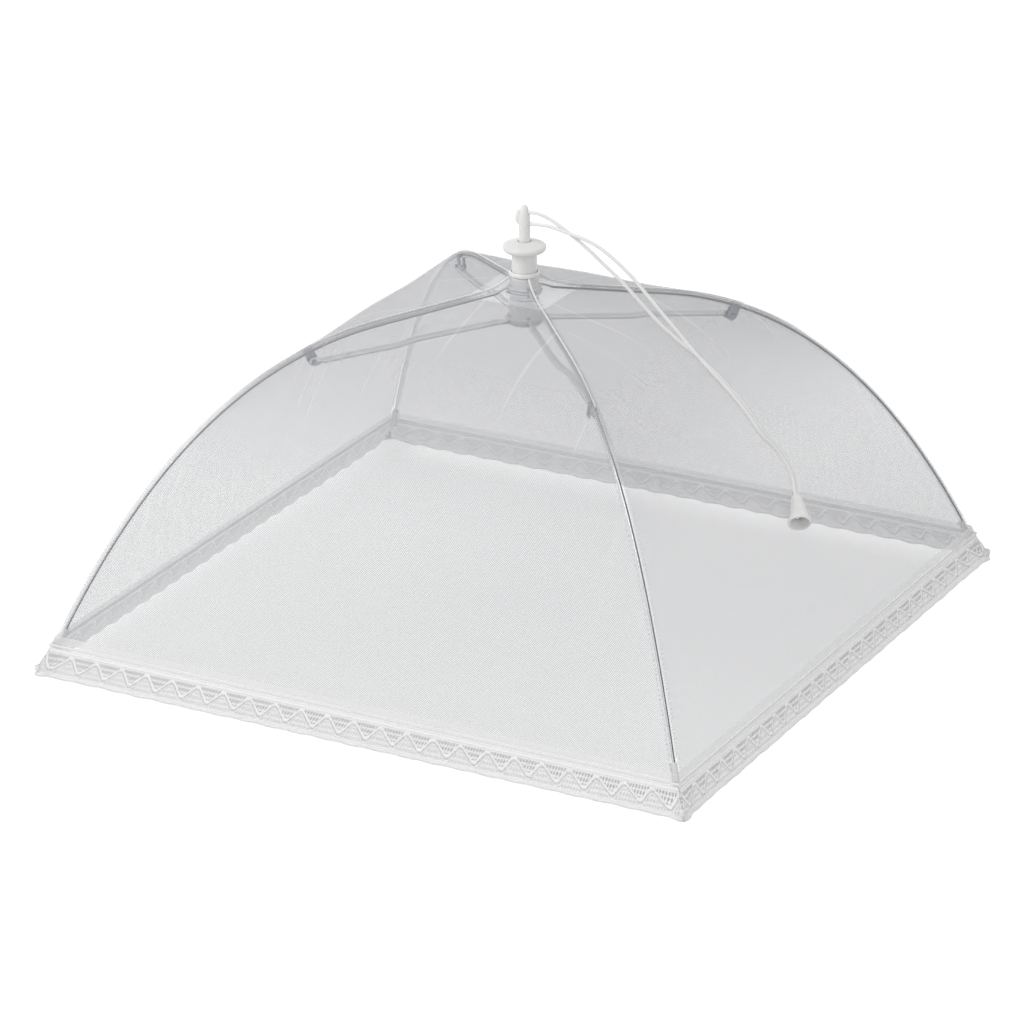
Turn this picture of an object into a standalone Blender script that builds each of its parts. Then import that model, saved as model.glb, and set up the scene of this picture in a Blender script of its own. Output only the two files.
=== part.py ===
"""A square pop-up food cover, standing open on its lace hem.

Four bent wire ribs hang on a ring round the moulded crown, and four channel struts on a ring round the lower hub. A plunger rod on
the lower hub comes up through the crown's bore and holds the cover open. Net gores with a corded hem and a lace strip lie over the
ribs. A looped pull cord on the rod's tip runs down the right-hand gore to its bell. Metres, +Z up, hem on z = 0.
"""

import math

import bmesh
import bpy
import numpy as np
from mathutils import Matrix, Vector

# Rib wire. Its tip stands this high over the table.
RIB_LENGTH = 0.301
RIB_TIP_Z = 0.0143705
RIB_WIRE_RADIUS = 0.0009
RIB_HOOK_RADIUS = 0.0006
RIB_CROWN_SLOPE_DEG = 9.4
RIB_FAR_SLOPE_DEG = 70.0
RIB_BEND_FROM = 0.068
RIB_BEND_OVER = 0.170
HOOK_SWAGE_FROM = 0.002
HOOK_SWAGE_TO = 0.008
HOOK_OPEN_DEG = -30.0

# Bracket on the rib
BRACKET_AT = 0.105
BRACKET_DROP = 0.005
BRACKET_PLAY = 0.00015
BRACKET_THICK = 0.0004
BRACKET_HALF_LENGTH = 0.0025
RIVET_RADIUS = 0.0006
RIVET_PLAY = 0.0003
RIVET_HEAD_RADIUS = 0.0014
RIVET_HEAD_THICK = 0.0007

# Net and sewn edges
NET_THICK = 0.0006
LACE_THICK = 0.0008
LACE_TOP = 0.0141
HEM_CORD_RADIUS = 0.0007
SEWN_GAP = 0.0003
TAPE_THICK = 0.0003
TAPE_ARM = 0.0032
TAPE_GAP = 0.0002
TAPE_FROM = 0.014
TAPE_STOP_BEFORE_CAP = 0.002

# Rings that the ribs and struts turn on, and the slots round them
RING_RADIUS = 0.008
RING_WIRE_RADIUS = 0.0005
RING_PLAY = 0.0003
RING_SEAT_GAP = 0.0004
NOTCH_PLAY = 0.00035
LIP_THICK = 0.0008
LIP_COVER = 0.0002
GROOVE_HALF = 0.0011

# Crown, from its bottom up
CROWN_FOOT = 0.0043
NECK_FOOT_RISE = 0.0070
NECK_RADIUS = 0.0065
NECK_HEIGHT = 0.0098
FLANGE_RADIUS = 0.0112
FLANGE_UNDER = 0.0050
FLANGE_OVER = 0.0032
FLANGE_EDGE_HALF = 0.0007
MOUTH_LAND = 0.0013
CHAMFER = 0.0004
CLAMP_GAP = 0.0003
CLAMP_WALL = 0.0013
CLAMP_SEAT_GAP = 0.0004
CLAMP_HEIGHT = 0.0022

# Net round the neck
NET_TOP_GAP = 0.0005
NET_TOP_LAP = 0.0008
NET_RISE_OVER = 0.0119
NET_RISE_POWER = 2.2

# Lower hub and plunger
RUNNER_RING_DROP = 0.0158
RUNNER_FOOT = 0.0021
RUNNER_BODY_STEP = 0.0003
RUNNER_LIP_COVER = 0.0007
RUNNER_SEAT_GAP = 0.0003
ROD_RADIUS = 0.0029
ROD_FIT = 0.0003
BORE_FIT = 0.0004
ROD_FOOT_RADIUS = 0.0045
ROD_FOOT_THICK = 0.0012
ROD_STAND = 0.0185
ROD_CONE = 0.0054
ROD_NOSE = 0.0006
ROD_NOSE_RADIUS = 0.0015
ROD_TOP_RADIUS = 0.0008
CORD_HOLE_DROP = 0.0034
CORD_HOLE_SPACING = 0.0060
CORD_HOLE_PLAY = 0.0002

# Strut
STRUT_HALF_WIDTH = 0.00125
STRUT_HALF_HEIGHT = 0.0010
STRUT_THICK = 0.0004
STRUT_STEP_FROM = 0.045
STRUT_STEP_TO = 0.060
CHANNEL_FROM = 0.004
CHANNEL_SHORT_BY = 0.0042
EYE_WALL = 0.0011
EYE_HALF_THICK = 0.0006
TONGUE_RADIUS = 0.0022
TONGUE_THICK = 0.0010
TONGUE_GAP = 0.0003
TONGUE_OVERLAP = 0.0050

# Tip cap
CAP_LENGTH = 0.012
CAP_PAST_TIP = 0.002
CAP_WALL = 0.00075
CAP_PLAY = 0.00015
CAP_DROP = 0.0005
CAP_NOSE = 0.0012

# Pull cord and bell
CORD_RADIUS = 0.0009
CORD_AZIMUTH_DEG = 7.0
CORD_STEP = 0.0048
CORD_GAP = 0.0003
CORD_SPREAD_OVER = 0.014
BIGHT_OUT = 0.0001
BIGHT_IN = 0.0005
BIGHT_BULGE = 0.0019
BELL_LENGTH = 0.0165
BELL_HOLE_PLAY = 0.0002
BELL_NECK_WALL = 0.00055
BELL_MOUTH_RADIUS = 0.0058
BELL_WALL = 0.0008
BELL_THROAT = 0.0062
BELL_TOP = (0.1450, 0.0120, 0.0881)
BELL_AXIS = (0.451, -0.741, -0.497)
KNOT_RADIUS = 0.0026
KNOT_DEPTH = 0.0108

# Each strand's way from the rod: distance out and height, in the cord's upright plane.
UPPER_STRAND = [
    (0.0033, 0.2163), (0.0070, 0.2160), (0.0127, 0.2138), (0.0225, 0.2080), (0.0311, 0.2019), (0.0397, 0.1950),
    (0.0519, 0.1848), (0.0606, 0.1764), (0.0716, 0.1660), (0.0827, 0.1576), (0.0912, 0.1518), (0.1010, 0.1438),
    (0.1110, 0.1341), (0.1180, 0.1261),
]
LOWER_STRAND = [
    (0.0033, 0.2103), (0.0070, 0.2106), (0.0139, 0.2106), (0.0225, 0.2086), (0.0323, 0.2061), (0.0408, 0.2024),
    (0.0494, 0.1962), (0.0568, 0.1899), (0.0641, 0.1823), (0.0727, 0.1730), (0.0813, 0.1640), (0.0886, 0.1562),
    (0.0960, 0.1488), (0.1035, 0.1416), (0.1110, 0.1341), (0.1180, 0.1261),
]
CORD_BEND = (0.12407, 0.01523, 0.1170)
# Both strands' way from that bend to the bell.
STRAND_TAIL = [
    (0.1293, 0.0192, 0.1097), (0.1343, 0.0216, 0.1020), (0.1389, 0.0206, 0.0946), (0.1424, 0.0157, 0.0904),
]

# Mesh fineness
ROUND_STEPS = 32
WIRE_SIDES = 8
RIB_STEPS = 27
NET_STEPS = 27

CORNERS = ("back_right", "back_left", "front_left", "front_right")
SIDES = ("right", "back", "left", "front")
QUARTER = math.pi / 2

LIPS_HALF = GROOVE_HALF + LIP_THICK
HOOK_REACH = RING_WIRE_RADIUS + RING_PLAY + 2 * RIB_HOOK_RADIUS
EYE_RADIUS = RING_WIRE_RADIUS + RING_PLAY + EYE_WALL
NOTCH_HALF = max(RIB_HOOK_RADIUS, EYE_HALF_THICK) + NOTCH_PLAY
NOTCH_REACH = max(HOOK_REACH, EYE_RADIUS) + RING_PLAY

BRACKET_INNER = RIB_WIRE_RADIUS + BRACKET_PLAY
BRACKET_OUTER = BRACKET_INNER + BRACKET_THICK
TONGUE_NEAR = BRACKET_OUTER + TONGUE_GAP
STRUT_SIDE_STEP = TONGUE_NEAR + STRUT_HALF_WIDTH
NET_OVER_WIRE = BRACKET_OUTER + TAPE_GAP + TAPE_THICK + TAPE_GAP
CAP_RADIUS = RIB_WIRE_RADIUS + CAP_PLAY + CAP_WALL

BORE_RADIUS = ROD_RADIUS + BORE_FIT
BODY_RADIUS = RING_RADIUS - RING_WIRE_RADIUS - RING_SEAT_GAP
CROWN_LIP_RADIUS = RING_RADIUS + RING_WIRE_RADIUS + LIP_COVER
RUNNER_BODY_RADIUS = BODY_RADIUS + RUNNER_BODY_STEP
RUNNER_LIP_RADIUS = RING_RADIUS + RING_WIRE_RADIUS + RUNNER_LIP_COVER
MOUTH_RADIUS = BORE_RADIUS + MOUTH_LAND
CLAMP_INNER_RADIUS = NECK_RADIUS + CLAMP_GAP
CLAMP_OUTER_RADIUS = CLAMP_INNER_RADIUS + CLAMP_WALL
NET_TOP_X = CLAMP_INNER_RADIUS + NET_TOP_LAP
CORD_PAIR_HALF = CORD_RADIUS + CORD_GAP / 2
BELL_HOLE_RADIUS = CORD_PAIR_HALF + CORD_RADIUS + BELL_HOLE_PLAY
BELL_TOP_RADIUS = BELL_HOLE_RADIUS + BELL_NECK_WALL


# The rib's line: straight out of the crown, then bent most just past the bracket, less and less towards the tip.
ALONG = np.linspace(0, 1.2 * RIB_LENGTH, 2401)
BEND = np.tanh(np.maximum(ALONG - RIB_BEND_FROM, 0) / RIB_BEND_OVER)
SLOPE = np.radians(RIB_CROWN_SLOPE_DEG + (RIB_FAR_SLOPE_DEG - RIB_CROWN_SLOPE_DEG) * BEND)
SLOPE = np.where(ALONG > RIB_LENGTH, np.interp(RIB_LENGTH, ALONG, SLOPE), SLOPE)
MIDDLE = (SLOPE[1:] + SLOPE[:-1]) / 2
STEP = ALONG[1] - ALONG[0]
OUT = RING_RADIUS + np.concatenate([[0], np.cumsum(np.cos(MIDDLE) * STEP)])
DROP = np.concatenate([[0], np.cumsum(np.sin(MIDDLE) * STEP)])

# Heights: the rib's tip carries the crown, and the crown's ring carries the rest.
CROWN_RING_Z = RIB_TIP_Z + float(np.interp(RIB_LENGTH, ALONG, DROP))
CROWN_BOTTOM_Z = CROWN_RING_Z - CROWN_FOOT
NECK_FOOT_Z = CROWN_RING_Z + NECK_FOOT_RISE
CLAMP_BOTTOM_Z = NECK_FOOT_Z + CLAMP_SEAT_GAP
FLANGE_FOOT_Z = NECK_FOOT_Z + NECK_HEIGHT
FLANGE_EDGE_Z = FLANGE_FOOT_Z + FLANGE_UNDER
FLANGE_TOP_Z = FLANGE_EDGE_Z + FLANGE_OVER
RUNNER_RING_Z = CROWN_RING_Z - RUNNER_RING_DROP
RUNNER_BOTTOM_Z = RUNNER_RING_Z - RUNNER_FOOT
ROD_TOP_Z = FLANGE_TOP_Z + ROD_STAND
ROD_NOSE_Z = ROD_TOP_Z - ROD_NOSE
ROD_CONE_Z = ROD_TOP_Z - ROD_CONE
CORD_HOLE_HIGH_Z = ROD_TOP_Z - CORD_HOLE_DROP
CORD_HOLE_LOW_Z = CORD_HOLE_HIGH_Z - CORD_HOLE_SPACING
HIGH = CROWN_RING_Z - DROP


def clear_scene():
    for item in list(bpy.data.objects):
        bpy.data.objects.remove(item, do_unlink=True)


def finish(name, color, roughness, metallic=0.0):
    made = bpy.data.materials.new(name)
    made.use_nodes = True
    shader = made.node_tree.nodes["Principled BSDF"]
    shader.inputs["Base Color"].default_value = (*color, 1.0)
    shader.inputs["Roughness"].default_value = roughness
    shader.inputs["Metallic"].default_value = metallic
    made.diffuse_color = (*color, 1.0)
    return made


def mesh_of(name, points, faces):
    """A closed mesh with its faces turned outwards."""
    mesh = bpy.data.meshes.new(name)
    mesh.from_pydata([tuple(float(v) for v in p) for p in points], [], faces)
    work = bmesh.new()
    work.from_mesh(mesh)
    bmesh.ops.recalc_face_normals(work, faces=work.faces)
    if work.calc_volume(signed=True) < 0:
        bmesh.ops.reverse_faces(work, faces=work.faces)
    work.to_mesh(mesh)
    work.free()
    return mesh


def place(name, mesh, material, parent=None, turn=0.0, smooth=True):
    """Show a mesh as a named piece, turned about the upright axis, or in its parent's own frame."""
    if not mesh.materials:
        mesh.materials.append(material)
    for face in mesh.polygons:
        face.use_smooth = smooth
    item = bpy.data.objects.new(name, mesh)
    bpy.context.collection.objects.link(item)
    item.rotation_euler.z = turn
    item.parent = parent
    return item


def pivot(name, at, turn=0.0):
    """An empty on a joint, whose own Y axis is the axis that a hinge turns about."""
    item = bpy.data.objects.new(name, None)
    item.empty_display_size = 2 * RING_RADIUS
    item.location = at
    item.rotation_euler.z = turn
    bpy.context.collection.objects.link(item)
    return item


def helper(name, mesh):
    item = bpy.data.objects.new(name, mesh)
    item.hide_render = True
    item.display_type = "WIRE"
    bpy.context.collection.objects.link(item)
    return item


def combined(name, base, steps):
    """The mesh that Boolean steps leave of a base mesh. Each step is (operation, mesh)."""
    item = helper(name, base)
    helpers = [item]
    for index, (operation, mesh) in enumerate(steps):
        other = helper(f"{name}_{index}", mesh)
        helpers.append(other)
        modifier = item.modifiers.new(f"{operation.lower()}_{index}", "BOOLEAN")
        modifier.operation = operation
        modifier.solver = "EXACT"
        modifier.object = other
    bpy.context.view_layer.update()
    graph = bpy.context.evaluated_depsgraph_get()
    mesh = bpy.data.meshes.new_from_object(item.evaluated_get(graph))
    mesh.name = name
    for item in helpers:
        bpy.data.objects.remove(item, do_unlink=True)
    return mesh


def turned(name, profile, steps=ROUND_STEPS):
    """A closed outline of (radius, height) turned about the upright axis. Points on the axis become poles."""
    points, rings, faces = [], [], []
    for radius, height in profile:
        if radius == 0:
            rings.append([len(points)] * steps)
            points.append((0.0, 0.0, height))
            continue
        rings.append(list(range(len(points), len(points) + steps)))
        for step in range(steps):
            angle = 2 * math.pi * step / steps
            points.append((radius * math.cos(angle), radius * math.sin(angle), height))
    closed = profile[0][0] > 0 or profile[-1][0] > 0
    pairs = list(zip(rings, rings[1:] + rings[:1])) if closed else list(zip(rings, rings[1:]))
    for low, high in pairs:
        for step in range(steps):
            after = (step + 1) % steps
            corners = (low[step], low[after], high[after], high[step])
            face = list(dict.fromkeys(corners))
            if len(face) > 2:
                faces.append(face)
    return mesh_of(name, points, faces)


def lofted(name, sections, caps=None):
    """Join closed sections of equal count. Caps are the faces, by index, that close each end section."""
    count = len(sections[0])
    points = [p for section in sections for p in section]
    faces = []
    for k in range(len(sections) - 1):
        for i in range(count):
            j = (i + 1) % count
            faces.append([k * count + i, k * count + j, (k + 1) * count + j, (k + 1) * count + i])
    last = (len(sections) - 1) * count
    for cap in caps or [list(range(count))]:
        faces.append(list(reversed(cap)))
        faces.append([last + i for i in cap])
    return mesh_of(name, points, faces)


def prism(name, outline, low, high, across):
    """An outline extruded between two places along one axis. across gives the point of (u, v, w)."""
    return lofted(name, [[across(u, v, w) for u, v in outline] for w in (low, high)])


def tube(name, path, radii, sides=WIRE_SIDES):
    """A round tube along points, its sections carried along without twist."""
    path = [Vector(p) for p in path]
    radii = [radii] * len(path) if isinstance(radii, float) else radii
    ways = [(path[min(i + 1, len(path) - 1)] - path[max(i - 1, 0)]).normalized() for i in range(len(path))]
    side = ways[0].orthogonal().normalized()
    sections = []
    for point, way, radius in zip(path, ways, radii):
        side = (side - way * side.dot(way)).normalized()
        up = way.cross(side)
        turns = [2 * math.pi * (k + 0.5) / sides for k in range(sides)]
        sections.append([point + radius * (math.cos(a) * side + math.sin(a) * up) for a in turns])
    return lofted(name, sections)


def round_rod(start, end, radius, name="round_rod", sides=16):
    return tube(name, [start, end], [radius, radius], sides)


def box(name, low, high):
    outline = [(low[0], low[1]), (high[0], low[1]), (high[0], high[1]), (low[0], high[1])]
    return prism(name, outline, low[2], high[2], lambda u, v, w: (u, v, w))


def merged(name, meshes):
    """Several separate closed meshes in one, for use as a cutter."""
    work = bmesh.new()
    for mesh in meshes:
        work.from_mesh(mesh)
    made = bpy.data.meshes.new(name)
    work.to_mesh(made)
    work.free()
    return made


def arc(center, radius, start_deg, end_deg, steps):
    angles = np.radians(np.linspace(start_deg, end_deg, steps))
    return [(center[0] + radius * math.cos(a), center[1] + radius * math.sin(a)) for a in angles]


def rib_at(along):
    """(distance out, height, slope) of the rib's line, or of its straight run past the tip."""
    return (float(np.interp(along, ALONG, values)) for values in (OUT, HIGH, SLOPE))


def net_rise():
    """How far the net climbs over the ribs' plane to end under the clamp ring."""
    slope = math.atan(math.sqrt(2) * math.tan(math.radians(RIB_CROWN_SLOPE_DEG)))
    plain = float(np.interp(NET_TOP_X * math.sqrt(2), OUT, HIGH)) + (NET_OVER_WIRE + NET_THICK) * math.cos(slope)
    return CLAMP_BOTTOM_Z - NET_TOP_GAP - plain


NET_RISE = net_rise()


def net_at(along, off):
    """(x, z) of the right-hand gore's plane over a place on the ribs, moved outwards by off."""
    out, high, slope = rib_at(along)
    gore = math.atan(math.sqrt(2) * math.tan(slope))
    x = out / math.sqrt(2)
    share = min(max((x - NET_TOP_X) / NET_RISE_OVER, 0), 1)
    rise = NET_RISE * (1 - share) ** NET_RISE_POWER
    return x + off * math.sin(gore), high + off * math.cos(gore) + rise


def along_where(test):
    """The first place on the rib's line, or past it, where test(along) holds."""
    return next(float(a) for a in ALONG if test(float(a)))


def net_places():
    """Places along the ribs where the net, the tapes and their meshes bend, close together round the neck."""
    middle, hem = NET_OVER_WIRE + NET_THICK / 2, LACE_TOP + 2 * SEWN_GAP + 2 * HEM_CORD_RADIUS
    start = along_where(lambda a: net_at(a, NET_OVER_WIRE)[0] >= NET_TOP_X)
    stop = along_where(lambda a: net_at(a, middle)[1] <= hem)
    near = np.linspace(start, start + 2 * NET_RISE_OVER, NET_STEPS // 3, endpoint=False)
    return [*near, *np.linspace(near[-1] + near[1] - near[0], stop, NET_STEPS)]


def mitred(outline):
    """An (x, z) outline run along the right-hand side and mitred at both corners, half a sewn gap short."""
    short = SEWN_GAP / math.sqrt(2)
    return [[(x, way * (x - short), z) for x, z in outline] for way in (-1, 1)]


def side_strip(name, outer, inner):
    """A strip between an outer and an inner line of (x, z), from the crown to the hem."""
    first, last = mitred(outer + inner[::-1])
    count, total = len(outer), len(outer) + len(inner)
    caps = [[i, i + 1, total - 2 - i, total - 1 - i] for i in range(count - 1)]
    return lofted(name, [first, last], caps)


def rib_plane(out, high, side=0.0):
    """A point of a rib's own upright plane, in the frame of its pivot."""
    return Vector((out - RING_RADIUS, side, high - CROWN_RING_Z))


def on_rib(along, below=0.0, side=0.0):
    """A point by its place along the rib, its distance below the wire's line and to the side."""
    out, high, slope = rib_at(along)
    return rib_plane(out - below * math.sin(slope), high - below * math.cos(slope), side)


def smooth_share(value):
    value = min(max(value, 0.0), 1.0)
    return value * value * (3 - 2 * value)


def build_crown(white):
    grooved = [
        (BORE_RADIUS, CROWN_BOTTOM_Z),
        (BODY_RADIUS - CHAMFER, CROWN_BOTTOM_Z),
        (BODY_RADIUS, CROWN_BOTTOM_Z + CHAMFER),
        (BODY_RADIUS, CROWN_RING_Z - LIPS_HALF),
        (CROWN_LIP_RADIUS, CROWN_RING_Z - LIPS_HALF),
        (CROWN_LIP_RADIUS, CROWN_RING_Z - GROOVE_HALF),
        (BODY_RADIUS, CROWN_RING_Z - GROOVE_HALF),
        (BODY_RADIUS, CROWN_RING_Z + GROOVE_HALF),
        (CROWN_LIP_RADIUS, CROWN_RING_Z + GROOVE_HALF),
        (CROWN_LIP_RADIUS, CROWN_RING_Z + LIPS_HALF),
        (BODY_RADIUS, CROWN_RING_Z + LIPS_HALF),
        (BODY_RADIUS, NECK_FOOT_Z),
        (NECK_RADIUS, NECK_FOOT_Z),
        (NECK_RADIUS, FLANGE_FOOT_Z),
        (NECK_RADIUS + 3 * CHAMFER, FLANGE_FOOT_Z + 2 * CHAMFER),
        (FLANGE_RADIUS - 2 * CHAMFER, FLANGE_EDGE_Z - 3 * FLANGE_EDGE_HALF),
        (FLANGE_RADIUS, FLANGE_EDGE_Z - FLANGE_EDGE_HALF),
        (FLANGE_RADIUS, FLANGE_EDGE_Z + FLANGE_EDGE_HALF),
        (FLANGE_RADIUS - 2 * CHAMFER, FLANGE_EDGE_Z + 2 * FLANGE_EDGE_HALF),
        (NECK_RADIUS + 3 * CHAMFER, FLANGE_TOP_Z - 2 * CHAMFER),
        (MOUTH_RADIUS, FLANGE_TOP_Z),
        (BORE_RADIUS + CHAMFER, FLANGE_TOP_Z),
        (BORE_RADIUS, FLANGE_TOP_Z - CHAMFER),
    ]
    mesh = combined("crown_hub", turned("crown_hub", grooved), [("DIFFERENCE", notches(CROWN_RING_Z))])
    place("crown_hub", mesh, white)
    top = CLAMP_BOTTOM_Z + CLAMP_HEIGHT
    clamp = [
        (CLAMP_INNER_RADIUS, CLAMP_BOTTOM_Z),
        (CLAMP_OUTER_RADIUS, CLAMP_BOTTOM_Z),
        (CLAMP_OUTER_RADIUS, top - 2 * CHAMFER),
        (CLAMP_OUTER_RADIUS - 2 * CHAMFER, top),
        (CLAMP_INNER_RADIUS, top),
    ]
    place("net_clamp_ring", turned("net_clamp_ring", clamp), white)


def notches(height):
    """Four slots at the corners, in which the hooked ends turn on the ring."""
    low = (RING_RADIUS - NOTCH_REACH, -NOTCH_HALF, height - LIPS_HALF - LIP_THICK)
    high = (2 * RING_RADIUS, NOTCH_HALF, height + LIPS_HALF + LIP_THICK)
    cutters = []
    for quarter in range(4):
        cutter = box("notch", low, high)
        cutter.transform(Matrix.Rotation((quarter + 0.5) * QUARTER, 4, "Z"))
        cutters.append(cutter)
    return merged("notches", cutters)


def ring_wire(name, height, metal, parent=None):
    """A closed wire ring round a hub. The turned outline is the wire's own section."""
    outline = arc((RING_RADIUS, height), RING_WIRE_RADIUS, 0, 360, WIRE_SIDES + 1)[:-1]
    return place(name, turned(name, outline), metal, parent)


def build_net(net, lace, cord):
    places = net_places()
    inner = [net_at(a, NET_OVER_WIRE) for a in places]
    outer = [net_at(a, NET_OVER_WIRE + NET_THICK) for a in places]
    gore = side_strip("gore", outer, inner)

    middle = NET_OVER_WIRE + NET_THICK / 2
    hem = along_where(lambda a: net_at(a, middle)[1] <= LACE_TOP + SEWN_GAP + HEM_CORD_RADIUS)
    ring = arc(net_at(hem, middle), HEM_CORD_RADIUS, 22.5, 382.5, WIRE_SIDES + 1)[:-1]
    hem_cord = lofted("hem_cord", mitred(ring))

    off = middle - LACE_THICK / 2
    top = along_where(lambda a: net_at(a, middle)[1] <= LACE_TOP)
    lines = []
    for distance in (off + LACE_THICK, off):
        head = net_at(top, distance)
        x_far, z_far = net_at(ALONG[-1], distance)
        share = head[1] / (head[1] - z_far)
        lines.append([head, (head[0] + share * (x_far - head[0]), 0.0)])
    strip = side_strip("lace", *lines)
    for quarter, side in enumerate(SIDES):
        turn = quarter * QUARTER
        place(f"gore_{side}", gore.copy() if quarter else gore, net, turn=turn)
        place(f"hem_cord_{side}", hem_cord.copy() if quarter else hem_cord, cord, turn=turn)
        place(f"lace_{side}", strip.copy() if quarter else strip, lace, turn=turn, smooth=False)


def rib_wire_mesh():
    """The wire with a hook round the ring: three quarters of a turn, then back to the wire's line."""
    hook = RING_WIRE_RADIUS + RING_PLAY + RIB_HOOK_RADIUS
    slope = math.radians(RIB_CROWN_SLOPE_DEG)
    away, up = Vector((math.cos(slope), 0, -math.sin(slope))), Vector((math.sin(slope), 0, math.cos(slope)))
    path, radii = [], []
    for a, b in arc((0, 0), hook, HOOK_OPEN_DEG, -270, 11):
        path.append(a * away + b * up)
        radii.append(RIB_HOOK_RADIUS)
    for share in (0.35, 0.6, 0.8):
        run = share * HOOK_SWAGE_TO
        path.append(run * away + hook * (1 - smooth_share(run / HOOK_SWAGE_TO)) * up)
        swage = smooth_share((run - HOOK_SWAGE_FROM) / (HOOK_SWAGE_TO - HOOK_SWAGE_FROM))
        radii.append(RIB_HOOK_RADIUS + (RIB_WIRE_RADIUS - RIB_HOOK_RADIUS) * swage)
    for along in (HOOK_SWAGE_TO, RIB_BEND_FROM / 2, *np.linspace(RIB_BEND_FROM, RIB_LENGTH, RIB_STEPS)):
        path.append(on_rib(along))
        radii.append(RIB_WIRE_RADIUS)
    return tube("rib_wire", path, radii)


def bracket_mesh():
    """A saddle of sheet metal over the wire, with two round-ended legs pierced for the rivet."""
    inner, outer = BRACKET_INNER, BRACKET_OUTER
    foot = BRACKET_DROP + 2 * TONGUE_RADIUS
    saddle = [(-outer, -foot), *arc((0, 0), outer, 180, 0, 13), (outer, -foot)]
    saddle += [(inner, -foot), *arc((0, 0), inner, 0, 180, 9), (-inner, -foot)]
    rib_out, rib_high, slope = rib_at(BRACKET_AT)
    along = Vector((math.cos(slope), 0, -math.sin(slope)))
    up = Vector((math.sin(slope), 0, math.cos(slope)))
    base = rib_plane(rib_out, rib_high)
    side = Vector((0, 1, 0))

    def across(u, v, w):
        return base + u * side + v * up + w * along

    def sideways(u, v, w):
        return base + u * along + v * up + w * side

    folded = prism("saddle", saddle, -BRACKET_DROP, BRACKET_DROP, across)
    plate = [
        (-BRACKET_HALF_LENGTH, 2 * outer),
        (BRACKET_HALF_LENGTH, 2 * outer),
        *arc((0, -BRACKET_DROP), BRACKET_HALF_LENGTH, 0, -180, 13),
    ]
    trim = prism("trim", plate, -2 * outer, 2 * outer, sideways)
    hole_at = base - BRACKET_DROP * up
    hole = round_rod(hole_at - 2 * outer * side, hole_at + 2 * outer * side, RIVET_RADIUS + RIVET_PLAY)
    return combined("rib_bracket", folded, [("INTERSECT", trim), ("DIFFERENCE", hole)])


def lathe_to(mesh, origin, direction):
    """Move a turned mesh so that its upright axis lies along a direction from an origin."""
    mesh.transform(Matrix.Translation(origin) @ Vector((0, 0, 1)).rotation_difference(Vector(direction)).to_matrix().to_4x4())
    return mesh


def bracket_hole():
    """The rivet's place in a rib's frame."""
    return on_rib(BRACKET_AT, BRACKET_DROP)


def rivet_tail_mesh():
    """The tail half of the rivet, which stays in the bracket."""
    outer = BRACKET_OUTER
    start = -outer - BRACKET_PLAY
    profile = [
        (0, start - RIVET_HEAD_THICK),
        (RIVET_HEAD_RADIUS / 2, start - RIVET_HEAD_THICK),
        (RIVET_HEAD_RADIUS, start - RIVET_HEAD_THICK / 3),
        (RIVET_HEAD_RADIUS, start),
        (RIVET_RADIUS, start),
        (RIVET_RADIUS, outer),
        (0, outer),
    ]
    return lathe_to(turned("rivet_tail", profile, 16), bracket_hole(), (0, 1, 0))


def tape_mesh():
    """A folded tape over the wire, one arm on each gore."""
    stop = RIB_LENGTH + CAP_PAST_TIP - CAP_LENGTH - TAPE_STOP_BEFORE_CAP
    over = NET_OVER_WIRE - TAPE_GAP
    sections = []
    for along in (a for a in net_places() if TAPE_FROM <= a <= stop):
        (x1, z1), (x0, z0) = net_at(along, over), net_at(along, over - TAPE_THICK)
        sections.append([
            (x1, x1 - TAPE_ARM, z1), (x1, x1, z1), (x1 - TAPE_ARM, x1, z1),
            (x0 - TAPE_ARM, x0, z0), (x0, x0, z0), (x0, x0 - TAPE_ARM, z0),
        ])
    mesh = lofted("seam_tape", sections, [[0, 1, 4, 5], [1, 2, 3, 4]])
    mesh.transform(Matrix.Translation((-RING_RADIUS, 0, -CROWN_RING_Z)) @ Matrix.Rotation(-QUARTER / 2, 4, "Z"))
    return mesh


def tip_cap_mesh():
    """A moulded cap over the wire's end, set a little inwards so that it stays under the net."""
    begin, end = RIB_LENGTH + CAP_PAST_TIP - CAP_LENGTH, RIB_LENGTH + CAP_PAST_TIP
    out, high, slope = rib_at(RIB_LENGTH)
    away = Vector((math.cos(slope), 0, -math.sin(slope)))
    profile = [
        (0, 0), (CAP_RADIUS - CHAMFER, 0), (CAP_RADIUS, CHAMFER), (CAP_RADIUS, CAP_LENGTH - CAP_NOSE),
        (CAP_RADIUS / 2, CAP_LENGTH), (0, CAP_LENGTH),
    ]
    start = on_rib(RIB_LENGTH, CAP_DROP) - (RIB_LENGTH - begin) * away
    body = lathe_to(turned("tip_cap", profile, 16), start, away)
    tip = on_rib(RIB_LENGTH) + CAP_PLAY * away
    bore = round_rod(tip - (end - begin) * away, tip, RIB_WIRE_RADIUS + CAP_PLAY)
    return combined("tip_cap", body, [("DIFFERENCE", bore)])


def strut_line():
    """(length, rise) of the line from the lower hub's ring to the rivet, in a strut's own plane."""
    hole = bracket_hole()
    rise = hole.z + CROWN_RING_Z - RUNNER_RING_Z
    return math.hypot(hole.x, rise), math.atan2(rise, hole.x)


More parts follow.
